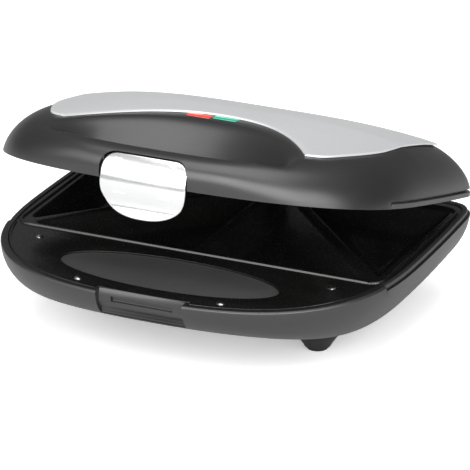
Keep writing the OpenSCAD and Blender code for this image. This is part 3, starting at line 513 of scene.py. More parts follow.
class Value:
    """A shader socket that takes part in sums, products and comparisons"""

    def __init__(self, finish, socket):
        self.finish = finish
        self.socket = socket

    def math(self, operation, a, b=None):
        return self.finish.node("ShaderNodeMath", {"operation": operation}, {0: a, 1: b}).out()

    def __add__(self, other):
        return self.math("ADD", self, other)

    def __radd__(self, other):
        return self.math("ADD", other, self)

    def __sub__(self, other):
        return self.math("SUBTRACT", self, other)

    def __rsub__(self, other):
        return self.math("SUBTRACT", other, self)

    def __mul__(self, other):
        return self.math("MULTIPLY", self, other)

    def __rmul__(self, other):
        return self.math("MULTIPLY", other, self)

    def __truediv__(self, other):
        return self.math("DIVIDE", self, other)

    def __pow__(self, other):
        return self.math("POWER", self, other)

    def __gt__(self, other):
        return self.math("GREATER_THAN", self, other)

    def __lt__(self, other):
        return self.math("LESS_THAN", self, other)

    def clamped(self):
        node = self.finish.node("ShaderNodeClamp", {}, {"Value": self})
        return node.out()


class NodeOut:
    """A node whose outputs are taken by name or number"""

    def __init__(self, finish, node):
        self.finish = finish
        self.node = node

    def out(self, key=0):
        return Value(self.finish, self.node.outputs[key])


class Nodes:
    """A node tree in the making"""

    def __init__(self, tree):
        self.tree = tree
        self.tree.nodes.clear()

    def node(self, kind, settings=None, inputs=None):
        node = self.tree.nodes.new(kind)
        for key, value in (settings or {}).items():
            if key == "stops":
                ramp = node.color_ramp
                while len(ramp.elements) < len(value):
                    ramp.elements.new(0.5)
                for element, (at, tone) in zip(ramp.elements, value):
                    element.position = at
                    element.color = (tone, tone, tone, 1) if isinstance(tone, float) else (*tone, 1)
            else:
                setattr(node, key, value)
        for key, value in (inputs or {}).items():
            if value is None:
                continue
            if isinstance(value, Value):
                self.tree.links.new(value.socket, node.inputs[key])
            else:
                node.inputs[key].default_value = value
        return NodeOut(self, node)

    def join(self, value, node, key):
        self.tree.links.new(value.socket, node.inputs[key])


class Finish(Nodes):
    """A node material in the making"""

    def __init__(self, name):
        self.material = bpy.data.materials.new(name + "_finish")
        self.material.use_nodes = True
        super().__init__(self.material.node_tree)
        self.output = self.tree.nodes.new("ShaderNodeOutputMaterial")
        self.place = self.node("ShaderNodeTexCoord").out("Object")

    def noise(self, scale, detail=3.0, rough=0.5, stretch=(1, 1, 1)):
        at = self.node("ShaderNodeVectorMath", {"operation": "MULTIPLY"}, {0: self.place, 1: stretch})
        return self.node("ShaderNodeTexNoise", {}, {
            "Vector": at.out(), "Scale": scale, "Detail": detail, "Roughness": rough}).out("Fac")

    def ramp(self, value, low, high):
        return self.node("ShaderNodeMapRange", {"interpolation_type": "SMOOTHSTEP"}, {
            "Value": value, "From Min": low, "From Max": high}).out()

    def blend(self, factor, a, b):
        node = self.node("ShaderNodeMix", {"data_type": "RGBA"}, {
            0: factor, 6: a if isinstance(a, Value) else (*a, 1), 7: b if isinstance(b, Value) else (*b, 1)})
        return node.out(2)

    def bump(self, height, distance, strength=1.0):
        return self.node("ShaderNodeBump", {}, {
            "Height": height, "Distance": distance, "Strength": strength}).out()

    def wear(self, width=0.0012):
        """1 along outer edges and 0 elsewhere, from the surface's pointiness: the mask for a painted highlight"""
        point = self.node("ShaderNodeNewGeometry").out("Pointiness")
        return self.ramp(point, 0.52, 0.60)

    def surface(self, **sockets):
        shader = self.node("ShaderNodeBsdfPrincipled", {}, {
            key.replace("_", " "): (*value, 1) if isinstance(value, tuple) and len(value) == 3 else value
            for key, value in sockets.items()})
        self.tree.links.new(shader.out().socket, self.output.inputs["Surface"])
        return self.material


def shade(tone, factor):
    return tuple(min(1.0, c * factor) for c in tone)


def moulded_plastic(name, tone, rough, grain=0.000020):
    """Spark-eroded moulding: fine even grain, faint flow clouds and a painted highlight that lightens the outer
    edges
    """
    f = Finish(name)
    fine = f.noise(2600, 2.0, 0.6)
    cloud = f.noise(24, 3.0, 0.55)
    speck = f.ramp(f.noise(900, 1.0), 0.62, 0.75)
    body = f.blend(cloud, shade(tone, 0.90), shade(tone, 1.10))
    body = f.blend(speck * 0.18, body, shade(tone, 1.6))
    # Outer edges lightened by their pointiness: a painted highlight
    body = f.blend(f.wear() * 0.30, body, shade(tone, 2.2))
    return f.surface(Base_Color=body, Roughness=rough + fine * 0.08 + cloud * 0.05 - 0.06,
                     Normal=f.bump(fine, grain, 0.55), Specular_IOR_Level=0.82)


def nonstick(name, tone):
    """Sprayed coating on a casting: glossy black with fine orange peel and faint cloudy wipes"""
    f = Finish(name)
    peel = f.noise(520, 3.0, 0.55)
    wipe = f.noise(18, 3.0, 0.6, (1, 3, 1))
    speck = f.ramp(f.noise(1500, 1.0), 0.66, 0.74)
    body = f.blend(wipe, shade(tone, 0.7), shade(tone, 1.5))
    body = f.blend(speck * 0.25, body, (0.05, 0.048, 0.045))
    return f.surface(Base_Color=body, Roughness=0.17 + wipe * 0.14 + speck * 0.08,
                     Normal=f.bump(peel, 0.00006, 0.35), Specular_IOR_Level=0.55,
                     Coat_Weight=0.25, Coat_Roughness=0.12)


def inlay_finish(name, tone):
    f = Finish(name)
    fine = f.noise(1900, 2.0, 0.6)
    cloud = f.noise(30, 2.0)
    body = f.blend(cloud, shade(tone, 0.92), shade(tone, 1.1))
    return f.surface(Base_Color=body, Roughness=0.46 + fine * 0.08, Normal=f.bump(fine, 0.00002, 0.5))


def silver_paint(name, tone):
    """Metallic paint: small flakes under a satin clear coat, with faint broad unevenness"""
    f = Finish(name)
    flake = f.noise(3200, 1.0, 0.7)
    cloud = f.noise(14, 2.0, 0.5)
    sparkle = f.ramp(flake, 0.60, 0.72)
    body = f.blend(cloud, shade(tone, 0.95), shade(tone, 1.05))
    body = f.blend(sparkle * 0.25, body, (0.85, 0.86, 0.87))
    return f.surface(Base_Color=body, Metallic=0.30, Roughness=0.36 + flake * 0.09 + cloud * 0.04,
                     Normal=f.bump(flake, 0.000012, 0.4), Coat_Weight=0.2, Coat_Roughness=0.2)


def plated(name, tone, rough=0.15):
    """Chrome plating with hairline polish marks and a breath of haze"""
    f = Finish(name)
    hair = f.noise(900, 2.0, 0.6, (0.12, 1, 1))
    haze = f.noise(40, 2.0)
    body = f.blend(haze, shade(tone, 0.97), shade(tone, 1.02))
    return f.surface(Base_Color=body, Metallic=1.0, Roughness=rough + haze * 0.05 + hair * 0.04,
                     Normal=f.bump(hair, 0.000006, 0.3))


def steel(name, tone, rough=0.3, tint=None):
    f = Finish(name)
    grain = f.noise(1400, 3.0, 0.6, (0.2, 1, 1))
    stain = f.noise(45, 3.0, 0.6)
    body = f.blend(stain, shade(tone, 0.85), shade(tone, 1.1))
    if tint:
        body = f.blend(f.ramp(f.noise(28, 2.0), 0.42, 0.68), body, tint)
    return f.surface(Base_Color=body, Metallic=1.0, Roughness=rough + grain * 0.12 + stain * 0.08 - 0.06,
                     Normal=f.bump(grain, 0.00002, 0.4))


def fired(name, tone, rough=0.6):
    """Ceramic or plain moulded insulation with a fine chalky grain"""
    f = Finish(name)
    grain = f.noise(1100, 3.0, 0.6)
    cloud = f.noise(60, 2.0)
    body = f.blend(cloud, shade(tone, 0.9), shade(tone, 1.05))
    return f.surface(Base_Color=body, Roughness=rough + grain * 0.1, Normal=f.bump(grain, 0.00003, 0.5))


def rubber(name, tone):
    f = Finish(name)
    grain = f.noise(1600, 3.0, 0.65)
    dust = f.ramp(f.noise(110, 3.0, 0.6), 0.5, 0.8)
    body = f.blend(dust * 0.3, tone, shade(tone, 2.4))
    return f.surface(Base_Color=body, Roughness=0.72 + grain * 0.12, Normal=f.bump(grain, 0.00004, 0.5))


def window(name, tone):
    """Moulded lens: deep colour that glows a little, over fine ribs that scatter the lamp"""
    f = Finish(name)
    ribs = f.node("ShaderNodeTexWave", {"bands_direction": "X"}, {
        "Vector": f.place, "Scale": 380.0, "Distortion": 0.2}).out("Fac")
    cloud = f.noise(160, 2.0)
    body = f.blend(cloud * 0.5 + ribs * 0.3, tone, shade(tone, 1.5))
    return f.surface(Base_Color=body, Roughness=0.12 + cloud * 0.06, Emission_Color=body,
                     Emission_Strength=0.18, Normal=f.bump(ribs, 0.00008, 0.35),
                     Coat_Weight=0.6, Coat_Roughness=0.05)


def glass(name):
    f = Finish(name)
    cloud = f.noise(300, 2.0)
    body = f.blend(cloud, (0.85, 0.62, 0.45), (0.95, 0.82, 0.7))
    return f.surface(Base_Color=body, Roughness=0.06 + cloud * 0.05, Coat_Weight=0.5)


def finishes():
    """The materials by the record's slot names, made once"""
    c = bpy.context.scene.toaster_colours
    makers = {
        "casing": lambda: moulded_plastic("casing", tuple(c.casing), 0.34),
        "frame": lambda: moulded_plastic("frame", tuple(c.trim), 0.42),
        "coated_cast": lambda: nonstick("coated_cast", tuple(c.coating)),
        "inlay": lambda: inlay_finish("inlay", tuple(c.inlay)),
        "rivet": lambda: steel("rivet", (0.55, 0.55, 0.56), 0.18),
        "element": lambda: steel("element", (0.36, 0.33, 0.30), 0.42, (0.20, 0.15, 0.13)),
        "reflector": lambda: steel("reflector", (0.72, 0.73, 0.75), 0.24),
        "ceramic": lambda: fired("ceramic", (0.78, 0.74, 0.64)),
        "terminal": lambda: fired("terminal", (0.76, 0.73, 0.64), 0.5),
        "gland": lambda: rubber("gland", (0.02, 0.02, 0.021)),
        "screw": lambda: steel("screw", (0.52, 0.52, 0.54), 0.3),
        "foot": lambda: moulded_plastic("foot", tuple(c.foot), 0.40),
        "pad": lambda: rubber("pad", (0.018, 0.018, 0.018)),
        "pin": lambda: steel("pin", (0.58, 0.58, 0.6), 0.2),
        "silver_panel": lambda: silver_paint("silver_panel", tuple(c.silver)),
        "red_lens": lambda: window("red_lens", tuple(c.red)),
        "green_lens": lambda: window("green_lens", tuple(c.green)),
        "lamp": lambda: glass("lamp"),
        "chrome_latch": lambda: plated("chrome_latch", tuple(c.chrome)),
    }
    return {key: bpy.data.materials.get(key + "_finish") or make() for key, make in makers.items()}


def hand_over(obj, body, slot, *nodes):
    """Gives a piece its finish and its body, and lets it stand for CAD nodes"""
    obj.data.materials.clear()
    obj.data.materials.append(finishes()[slot])
    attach(obj, body)
    if nodes:
        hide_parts(*nodes)
    return obj


def current_form():
    return Form(bpy.context.scene.toaster_sizes)


def soft_prism(name, section, mid, x0, x1, place):
    """Prism along X with soft ends, which close in on a middle point"""
    loops = []
    for x, s in ((x0, 0.95), (x0 + 0.15, 0.985), (x0 + 0.5, 1),
                 (x1 - 0.5, 1), (x1 - 0.15, 0.985), (x1, 0.95)):
        loops.append([(x, mid[0] + (y - mid[0]) * s, mid[1] + (z - mid[1]) * s) for y, z in section])
    return rings_piece(name, loops, place)


# Pieces

class TOASTER_OT_base_casing(bpy.types.Operator):
    """Lower shell: bowed bowl with a rolled rim, a catch pocket, hinge ears and the lead's boss"""
    bl_idname = "toaster.base_casing"
    bl_label = "Base casing"

    def execute(self, context):
        g = current_form()
        place = g.placed()
        step_z = g.rim_h - g.open_side

        def tier(ring):
            # The wall's top drops behind the apron
            return [(x, y, min(z, step_z) if p[1] > -0.15 else z) for (x, y, z), p in zip(ring, g.points)]

        def at(ring_of):
            return [ring_of(p) for p in g.points]

        def bowl(step, inner=False):
            def point(p):
                d, h = g.bowl_at(p, step)
                if not inner:
                    return (*g.drawn_in(p, d), g.rim_h - h)
                turn = math.radians(70)
                x, y = g.drawn_in(p, d + g.wall * (0.4 if step > 1 else 1))
                return x, y, g.rim_h - h + (g.wall if step > 1 else g.wall * math.sin(turn * step))
            return at(point)

        def flat(d_of, z):
            return at(lambda p: (*g.drawn_in(p, d_of(p)), z))

        round_r = 1.6
        rings = [bowl(s, True) for s in (2, 1.75, 1.5, 1.25, 1, 0.9, 0.8, 0.7, 0.6, 0.5, 0.4)]
        rings.append(flat(lambda p: g.wall + 0.4, g.rim_h - g.band_h - 1.6))
        rings.append(flat(g.band_at, g.rim_h - g.band_h))
        rings.append(flat(g.band_at, g.rim_h - 0.35))
        rings.append(flat(lambda p: g.band_at(p) - 0.1, g.rim_h - 0.1))
        rings.append(flat(lambda p: g.band_at(p) - 0.35, g.rim_h))
        for k in range(7):
            a = math.pi / 2 * k / 6
            rings.append(flat(lambda p: round_r * (1 - math.sin(a)), g.rim_h - round_r * (1 - math.cos(a))))
        rings += [bowl(s) for s in spread(0.14, 1, 22)]
        rings += [bowl(s) for s in (1.04, 1.1, 1.25, 1.5, 1.75, 1.92, 1.98, 2)]
        shell = rings_piece("base_casing", [tier(r) for r in rings], place)

        # Catch pocket with rounded corners, and the slot for the latch's hook
        half = (g.latch_w + 1) / 2
        foot = -g.pocket_low
        loops = []
        for x, shrink in ((-half, 0.8), (-half + 0.25, 0.25), (-half + 0.8, 0), (half - 0.8, 0),
                          (half - 0.25, 0.25), (half, 0.8)):
            back = g.catch_back(0) - shrink
            lead = g.pocket_lead
            section = [(-g.bow_d - 20, 2), (back + lead, 2), (back + lead, 0), (back, -2 * lead)]
            section += [(g.catch_back(z) - shrink, z) for z in spread(-5, foot + 0.9, 12)]
            section += [(g.catch_back(foot) - 0.3 - shrink, foot + 0.25 + shrink / 2),
                        (g.catch_back(foot) - 1 - shrink, foot + shrink), (-g.bow_d - 20, foot + shrink)]
            loops.append([(x, y, g.rim_h + z) for y, z in section])
        pocket = rings_piece("pocket", loops, place)
        slot_w, slot_in, slot_top, slot_foot = 38, 6.9, g.rim_h - 3.6, g.rim_h - 6.8
        slot = side_prism("slot", rounded([(-g.bow_d, slot_foot), (-g.bow_d + slot_in, slot_foot),
                                           (-g.bow_d + slot_in, slot_top), (-g.bow_d, slot_top)], 0.5),
                          -slot_w / 2, slot_w / 2, place)
        wall_r, backing_t = 20, 2.4
        heights = (3.4, 7, 11, 15, 17.6)

        def wall_y(h):
            return -g.bow_d + wall_r - math.sqrt(wall_r ** 2 - h * h)

        outer = [(wall_y(h) + 1.5, g.rim_h - h) for h in heights]
        inner = [(max(wall_y(h) + g.pocket_in, g.catch_back(-h)) + backing_t, g.rim_h - h)
                 for h in reversed(heights)]
        backing = side_prism("backing", outer + inner, -half - 3, half + 3, place)
        mod = shell.modifiers.new("backing", "BOOLEAN")
        mod.operation, mod.solver, mod.object = "UNION", "EXACT", backing
        cut(shell, [pocket, slot])
        if backing.name in bpy.data.objects:
            bpy.data.objects.remove(backing)

        # Hinge ears, and the boss that the mains lead comes in through
        parts = [shell]
        for side in (-1, 1):
            for k in (0, 1):
                x0 = g.knuckle_x - g.pin_reach + k * (g.knuckle_w + 2 * g.ear_gap + g.ear_w)
                x0, x1 = sorted((side * x0, side * (x0 + g.ear_w)))
                ear = [(g.rear_y - 9.6, g.rim_h - 16), (g.rear_y - 9.6, g.rim_h - 6.1),
                       (g.rear_y + 1.2, g.rim_h - 6.1)]
                for a in spread(205, -17, 28):
                    ear.append((g.hinge_y + g.knuckle_r * math.cos(math.radians(a)),
                                g.hinge_z + g.knuckle_r * math.sin(math.radians(a))))
                ear += [(g.rear_y + 3, g.rim_h - 14), (g.rear_y - 4, g.rim_h - 20)]
                mid = [sum(p[axis] for p in ear) / len(ear) for axis in (0, 1)]
                parts.append(soft_prism("ear", ear, mid, x0, x1, place))
        boss = [(5.9, -15.5), (8.4, -15.5), (9, -14.9), (9, -0.8), (8.7, -0.2), (8.2, 0), (6.4, 0), (5.9, -0.4),
                (5.9, -15.5)]
        turn = (place @ Matrix.Translation((g.boss_x, g.rear_y - 2, g.rim_h - 17))
                @ Matrix.Rotation(-math.pi / 2, 4, "X"))
        loops = [[(r * math.cos(a), r * math.sin(a), z) for a in spread(0, 2 * math.pi, 64)[:-1]]
                 for r, z in boss]
        parts.append(rings_piece("boss", loops, turn, caps=False))
        piece = joined("base_shell", parts)
        hand_over(piece, "base", "casing", "base_casing")
        return {"FINISHED"}


class TOASTER_OT_frames(bpy.types.Operator):
    """Inner frames of the base and the lid, which show along the sides and the rear"""
    bl_idname = "toaster.frames"
    bl_label = "Frames"

    def execute(self, context):
        g = current_form()

        def behind(p):
            return p[1] > -0.1

        inner = g.rim_band + 0.1
        top = g.rim_h
        low = g.rim_h - g.rest_h
        section = [(1.5, top - 2.6), (1.5, top - 0.6), (1.65, top - 0.2), (2.1, top), (inner - 0.5, top),
                   (inner - 0.12, top - 0.15), (inner, top - 0.5), (inner, top - 3.2), (9, top - 3.2), (9, low),
                   (3.1, low), (3.1, top - 2.6)]
        base = swept("base_frame_edge", g, behind, section, g.placed())
        hand_over(base, "base", "frame", "base_frame")
        section = [(0.2, 0.35), (0.5, 0), (inner - 0.4, 0), (inner, 0.4), (inner, 3.3), (inner + 3.6, 3.3),
                   (inner + 3.6, 4.5), (3.1, 4.5), (3.1, 3.0), (0.55, 3.0), (0.2, 2.65)]
        lid = swept("lid_frame_edge", g, behind, section, g.on_lid())
        hand_over(lid, "lid", "frame", "lid_frame")
        return {"FINISHED"}


class TOASTER_OT_cooking_plates(bpy.types.Operator):
    """Two cast plates: pockets with soft shoulders, a rim bead and the bowed apron with its oval"""
    bl_idname = "toaster.cooking_plates"
    bl_label = "Cooking plates"
    corner_r, sheet_t, face_down, grid = 10.0, 2.0, 0.8, 0.75
    rivets_at = ((44, -58.5), (91, -13))

    def pocket_depth(self, g, x, y):
        """Depth below the plate's face, from the distance to the nearest pocket's sides"""
        x = abs(x)
        bar, edge = 2.5, 5.5
        x1, y1 = g.plate_w / 2 - edge, g.plate_d - edge
        lean = 4.9
        corners = [(bar, edge, x1 - lean, edge, bar, y1 - lean, 1), (x1, y1, bar + lean, y1, x1, edge + lean, -1)]
        best = 0.0
        for cx, cy, ax, ay, bx, by, sign in corners:
            run = math.hypot(ax - bx, ay - by)
            slant = ((ax - x) * (by - ay) - (ay - y) * (bx - ax)) / run
            d = soft_min([(x - cx) * sign, (y - cy) * sign, slant], 1.6)
            if d > -2.5:
                t = limit((d + 0.4) / 17.4)
                lip = ease((d + 2.2) / 3.4)
                best = max(best, lip * (0.5 + (g.pocket_d - 0.5) * math.sin(math.pi / 2 * t)))
        return best

    def bead(self, g, x, y):
        """Height of the rim bead, and a drop outside it so that the apron covers the sheet's edge"""
        r, w, d = self.corner_r, g.plate_w / 2, g.plate_d
        qx, qy = abs(x) - (w - r), abs(y - d / 2) - (d / 2 - r)
        out = math.hypot(max(qx, 0), max(qy, 0)) + min(max(qx, qy), 0) - r
        crown = max(0.0, 1 - ((out + 1.1) / 1.15) ** 2)
        return 1.0 * math.sqrt(crown) if out < 0 else -0.9

    def within(self, g, x, y):
        """The point itself, or the nearest one on the plate's rounded corner"""
        r = self.corner_r
        cx, cy = g.plate_w / 2 - r, g.plate_d / 2 - r
        qx, qy = abs(x) - cx, abs(y - g.plate_d / 2) - cy
        far = math.hypot(qx, qy)
        if qx <= 0 or qy <= 0 or far <= r:
            return x, y
        return (math.copysign(cx + qx * r / far, x),
                g.plate_d / 2 + math.copysign(cy + qy * r / far, y - g.plate_d / 2))

    def field(self, name, g, place):
        nx, ny = round(g.plate_w / self.grid), round(g.plate_d / self.grid)
        verts = []
        for j in range(ny + 1):
            y = g.plate_d * j / ny
            for i in range(nx + 1):
                x = g.plate_w * (i / nx - 0.5)
                verts.append((*self.within(g, x, y), self.bead(g, x, y) - self.pocket_depth(g, x, y)))
        faces = [(j * (nx + 1) + i, j * (nx + 1) + i + 1, (j + 1) * (nx + 1) + i + 1, (j + 1) * (nx + 1) + i)
                 for j in range(ny) for i in range(nx)]
        obj = mesh_piece(name, verts, faces, Matrix.Identity(4), 60)
        mod = obj.modifiers.new("cast", "SOLIDIFY")
        # The sheet grows downward, whichever way its normals were turned
        mod.thickness, mod.offset = self.sheet_t * MM, (-1 if obj.data.polygons[0].normal.z > 0 else 1)
        bpy.context.view_layer.update()
        mesh = bpy.data.meshes.new_from_object(obj.evaluated_get(bpy.context.evaluated_depsgraph_get()))
        obj.modifiers.clear()
        obj.data = mesh
        mesh.transform(Matrix.Scale(MM, 4) @ place @ Matrix.Scale(1 / MM, 4))
        settle(obj, 60)
        return obj

    def apron(self, name, g, place):
        w, d = g.plate_w / 2 - 1.1, g.plate_d - 1.1
        hole = rounded([(-w, 1.1), (w, 1.1), (w, d), (-w, d)], 9, 10)
        notch = g.notch_w / 2
        front = []
        for p in g.points:
            near = abs(p[0]) <= notch and p[1] < 0
            front.append(g.drawn_in(p, g.edge + (g.notch_d if near else 0)))
        pieces = [slab(name, [front, g.oval(0), hole], -2.4, 0, place, 0.12)]
        # Raised lip round the apron, stepped back at the notch
        lip = [(0, 0), (0, 0.55), (0.12, 0.72), (0.35, 0.8), (0.65, 0.8), (0.88, 0.72), (1, 0.55), (1, 0)]
        loops = []
        for p in g.points[len(g.points) // 2:] + g.points[:len(g.points) // 2]:
            if p[1] < -0.2:
                deep = g.notch_d if abs(p[0]) <= notch else 0
                loops.append([(*g.drawn_in(p, g.edge + deep + d), z - 0.01) for d, z in lip])
        pieces.append(rings_piece("lip", loops, place))
        return pieces

    def rivets(self, place, slot_body, node, name):
        ball = [(0, -3.6), (1.4, -3.6), (1.4, 0), (2.6, 0.02)]
        radius = (2.6 ** 2 + 1.2 ** 2) / 2.4
        top = math.asin(2.6 / radius)
        ball += [(radius * math.sin(a), radius * math.cos(a) - radius + 1.2) for a in spread(top, 0, 10)[1:]]
        pieces = []
        for sx in (-1, 1):
            for x, y in self.rivets_at:
                pieces.append(lathe("rivet", ball, place @ Matrix.Translation((sx * x, y, 0)), 40))
        hand_over(joined(name, pieces), slot_body, "rivet", node)

    def inlay(self, g, place, body, node, name):
        # It lies a little deep in its opening, on a flange that is wider than the opening
        top = slab(name, [g.oval(-0.25)], -2.9, -0.9, place, 0.25)
        back = slab("back", [g.oval(2.5)], -3.1, -2.42, place, 0.05)
        hand_over(joined(name, [top, back]), body, "inlay", node)

    def execute(self, context):
        g = current_form()
        low = g.placed() @ Matrix.Translation((0, 0, g.rim_h - self.face_down))
        high = g.on_lid() @ Matrix.Scale(-1, 4, (0, 0, 1)) @ Matrix.Translation((0, 0, -self.face_down))
        for body, place, word, rivets in (("base", low, "lower", "apron_rivets"),
                                          ("lid", high, "upper", "upper_rivets")):
            plate = joined(word + "_plate", [self.field("field", g, place)] + self.apron("apron", g, place))
            if word == "upper":
                settle(plate, 45)
            hand_over(plate, body, "coated_cast", word + "_cooking_plate")
            self.rivets(place, body, rivets, word + "_rivet_heads")
            self.inlay(g, place, body, rivets.replace("rivets", "inlay"), word + "_oval")
        return {"FINISHED"}


class TOASTER_OT_lid_casing(bpy.types.Operator):
    """Upper shell: crowned top, rolled lip, finger scoop and the recess for the latch"""
    bl_idname = "toaster.lid_casing"
    bl_label = "Lid casing"

    def execute(self, context):
        g = current_form()
        place = g.on_lid()
        low = g.open_side + g.slot_h

        def tier(ring):
            return [(x, y, max(z, low) if p[1] > -0.15 else z) for (x, y, z), p in zip(ring, g.points)]

        deck = [(k / 52) ** 1.15 for k in range(1, 53)]
        rings = [g.lid_deck(t) for t in reversed(deck)]
        rings += [g.lid_ring(math.pi / 2 * k / 22) for k in range(22, -1, -1)]
        for h in (0, g.band_h):
            rings.append([(*g.drawn_in(p, g.band_at(p)), h) for p in g.points])
        rings.append([(*g.drawn_in(p, g.wall), g.band_h + 1.2) for p in g.points])
        rings += [g.lid_ring(math.pi / 2 * k / 10, g.wall) for k in range(3, 11)]
        rings += [g.lid_deck(t, g.skin) for t in deck[::4]]
        shell = rings_piece("lid_casing", [tier(r) for r in rings], place, 34)

        # Recess for the latch: it follows the latch's outline, and is deeper over its knuckle
        w = (g.latch_w + 1.6) / 2
        up = g.latch_up + 1.2
        back = -g.bow_d + 9.2
        shape = [(w, -3)] + [(g.latch_half(z, 0.8), z) for z in spread(0, g.latch_up + 0.79, 40)]
        shape += [(-x, z) for x, z in reversed(shape)]
        loops = [[(x, y, z) for x, z in shape] for y in (-g.bow_d - 30, -g.bow_d + 5)]
        window = rings_piece("window", loops, place)
        deep = [(x, z) for x, z in shape if z > 5]
        loops = [[(x, y, z) for x, z in deep] for y in (-g.bow_d + 4, back)]
        cut(shell, [window, rings_piece("deep", loops, place)], 34)
        housing = side_prism("housing", rounded([(back, 3.5), (back + 2.2, 3.5), (back + 2.2, up + 0.8),
                                                 (-g.bow_d + 4.4, up + 0.8), (-g.bow_d + 4.8, up - 0.1),
                                                 (back, up - 0.1)], 0.2), -w - 4, w + 4, place)
        cheeks = [side_prism("cheek", rounded([(-g.bow_d + 2.4, 3.5), (back + 2, 3.5), (back + 2, 11.4),
                                               (-g.bow_d + 2.4, 11.4)], 0.5), s * w, s * (w + 4), place)
                  for s in (-1, 1)]
        parts = [shell, housing] + cheeks
        r = g.knuckle_r
        zc = g.hinge_up - g.lid_gap
        section = [(g.rear_y - 6, low + 0.2), (g.rear_y - 6, zc + r - 0.1), (g.hinge_y, zc + r)]
        for a in spread(85, -60, 18):
            section.append((g.hinge_y + r * math.cos(math.radians(a)), zc + r * math.sin(math.radians(a))))
        for side in (-1, 1):
            x0 = side * g.knuckle_x - g.knuckle_w / 2
            parts.append(soft_prism("knuckle", section, (g.hinge_y - 6, zc + 1), x0, x0 + g.knuckle_w, place))
        hand_over(joined("lid_shell", parts), "lid", "casing", "lid_casing")
        return {"FINISHED"}


class TOASTER_OT_silver_panel(bpy.types.Operator):
    """Painted panel over the crown, with a swept front edge between two tips and a rounded rim"""
    bl_idname = "toaster.silver_panel"
    bl_label = "Silver panel"
    tip_r = 8.0

    def point(self, g, u, v, up):
        side = mix(g.panel_w, g.panel_tip_w, (1 - limit(v * 2.2)) ** 2) / 2
        # The tips are rounded off in plan
        length = g.panel_rear - 8 - g.panel_edge(g.panel_tip_w / 2)
        turn = limit(1 - v * length / self.tip_r)
        x = u * (side - self.tip_r * (1 - math.sqrt(1 - turn * turn)))
        y0 = g.panel_edge(min(abs(u), 1) * g.panel_tip_w / 2)
        y1 = g.panel_rear - 8 * abs(u) ** 4
        y = mix(y0, y1, v)
        return x, y, g.dome(x, y) + up

    def execute(self, context):
        g = current_form()
        nu, nv = 120, 60
        gap, thick, soft = 0.2, 1.1, 0.45

        def sheet(drawn, up):
            # The rim's rings close in from every side by the same distance
            loop = []
            du, dv = drawn / (g.panel_w / 2), drawn / (g.panel_rear - g.panel_front)
            lo_u, hi_u, lo_v, hi_v = -1 + du, 1 - du, dv, 1 - dv
            for u in spread(lo_u, hi_u, nu)[:-1]:
                loop.append(self.point(g, u, lo_v, up))
            for v in spread(lo_v, hi_v, nv)[:-1]:
                loop.append(self.point(g, hi_u, v, up))
            for u in spread(hi_u, lo_u, nu)[:-1]:
                loop.append(self.point(g, u, hi_v, up))
            for v in spread(hi_v, lo_v, nv)[:-1]:
                loop.append(self.point(g, lo_u, v, up))
            return loop

        n = 2 * (nu + nv)
        rings = [sheet(0, gap), sheet(0, gap + thick - soft)]
        for k in range(1, 6):
            a = math.pi / 2 * k / 5
            rings.append(sheet(soft * (1 - math.cos(a)), gap + thick - soft + soft * math.sin(a)))
        verts = [v for r in rings for v in r]
        faces = ring_faces(n, len(rings), caps=False)
        # Top and underside as grids that share the rims' points
        for ring_at, up, drawn in ((0, gap, 0), (len(rings) - 1, gap + thick, soft)):
            du, dv = drawn / (g.panel_w / 2), drawn / (g.panel_rear - g.panel_front)
            index = {}
            for j, v in enumerate(spread(dv, 1 - dv, nv)):
                for i, u in enumerate(spread(-1 + du, 1 - du, nu)):
                    if j == 0:
                        k = i
                    elif i == nu:
                        k = nu + j
                    elif j == nv:
                        k = nu + nv + nu - i
                    elif i == 0:
                        k = 2 * nu + nv + nv - j
                    else:
                        k = None
                    if k is None:
                        index[i, j] = len(verts)
                        verts.append(self.point(g, u, v, up))
                    else:
                        index[i, j] = ring_at * n + k % n
            for j in range(nv):
                for i in range(nu):
                    faces.append((index[i, j], index[i + 1, j], index[i + 1, j + 1], index[i, j + 1]))
        panel = mesh_piece("silver_panel", verts, faces, g.on_lid(), 50)
        hand_over(panel, "lid", "silver_panel", "lid_top_panel")
        return {"FINISHED"}


class TOASTER_OT_lenses(bpy.types.Operator):
    """Two indicator windows let into the lid just ahead of the silver edge"""
    bl_idname = "toaster.lenses"
    bl_label = "Indicator windows"

    def execute(self, context):
        g = current_form()
        w, d = 14.6, 6.0
        for side, slot in ((-1, "red_lens"), (1, "green_lens")):
            cx = -5 + side * 7.8
            y0 = g.panel_edge(cx + side * w / 2) - d - 0.4
            loops = []
            corners = [(cx - w / 2, y0), (cx + w / 2, y0), (cx + w / 2, y0 + d), (cx - w / 2, y0 + d)]
            for inset, up in ((0, -2.2), (0, 0.05), (0.08, 0.2), (0.25, 0.32), (0.5, 0.36)):
                grown = [(x + (inset if x < cx else -inset), y + (inset if y < y0 + 1 else -inset))
                         for x, y in corners]
                loops.append([(x, y, g.dome(x, y) + up) for x, y in rounded(grown, 0.9, 4)])
            lens = rings_piece(slot + "_window", loops, g.on_lid(), 30)
            hand_over(lens, "lid", slot, slot)
        return {"FINISHED"}


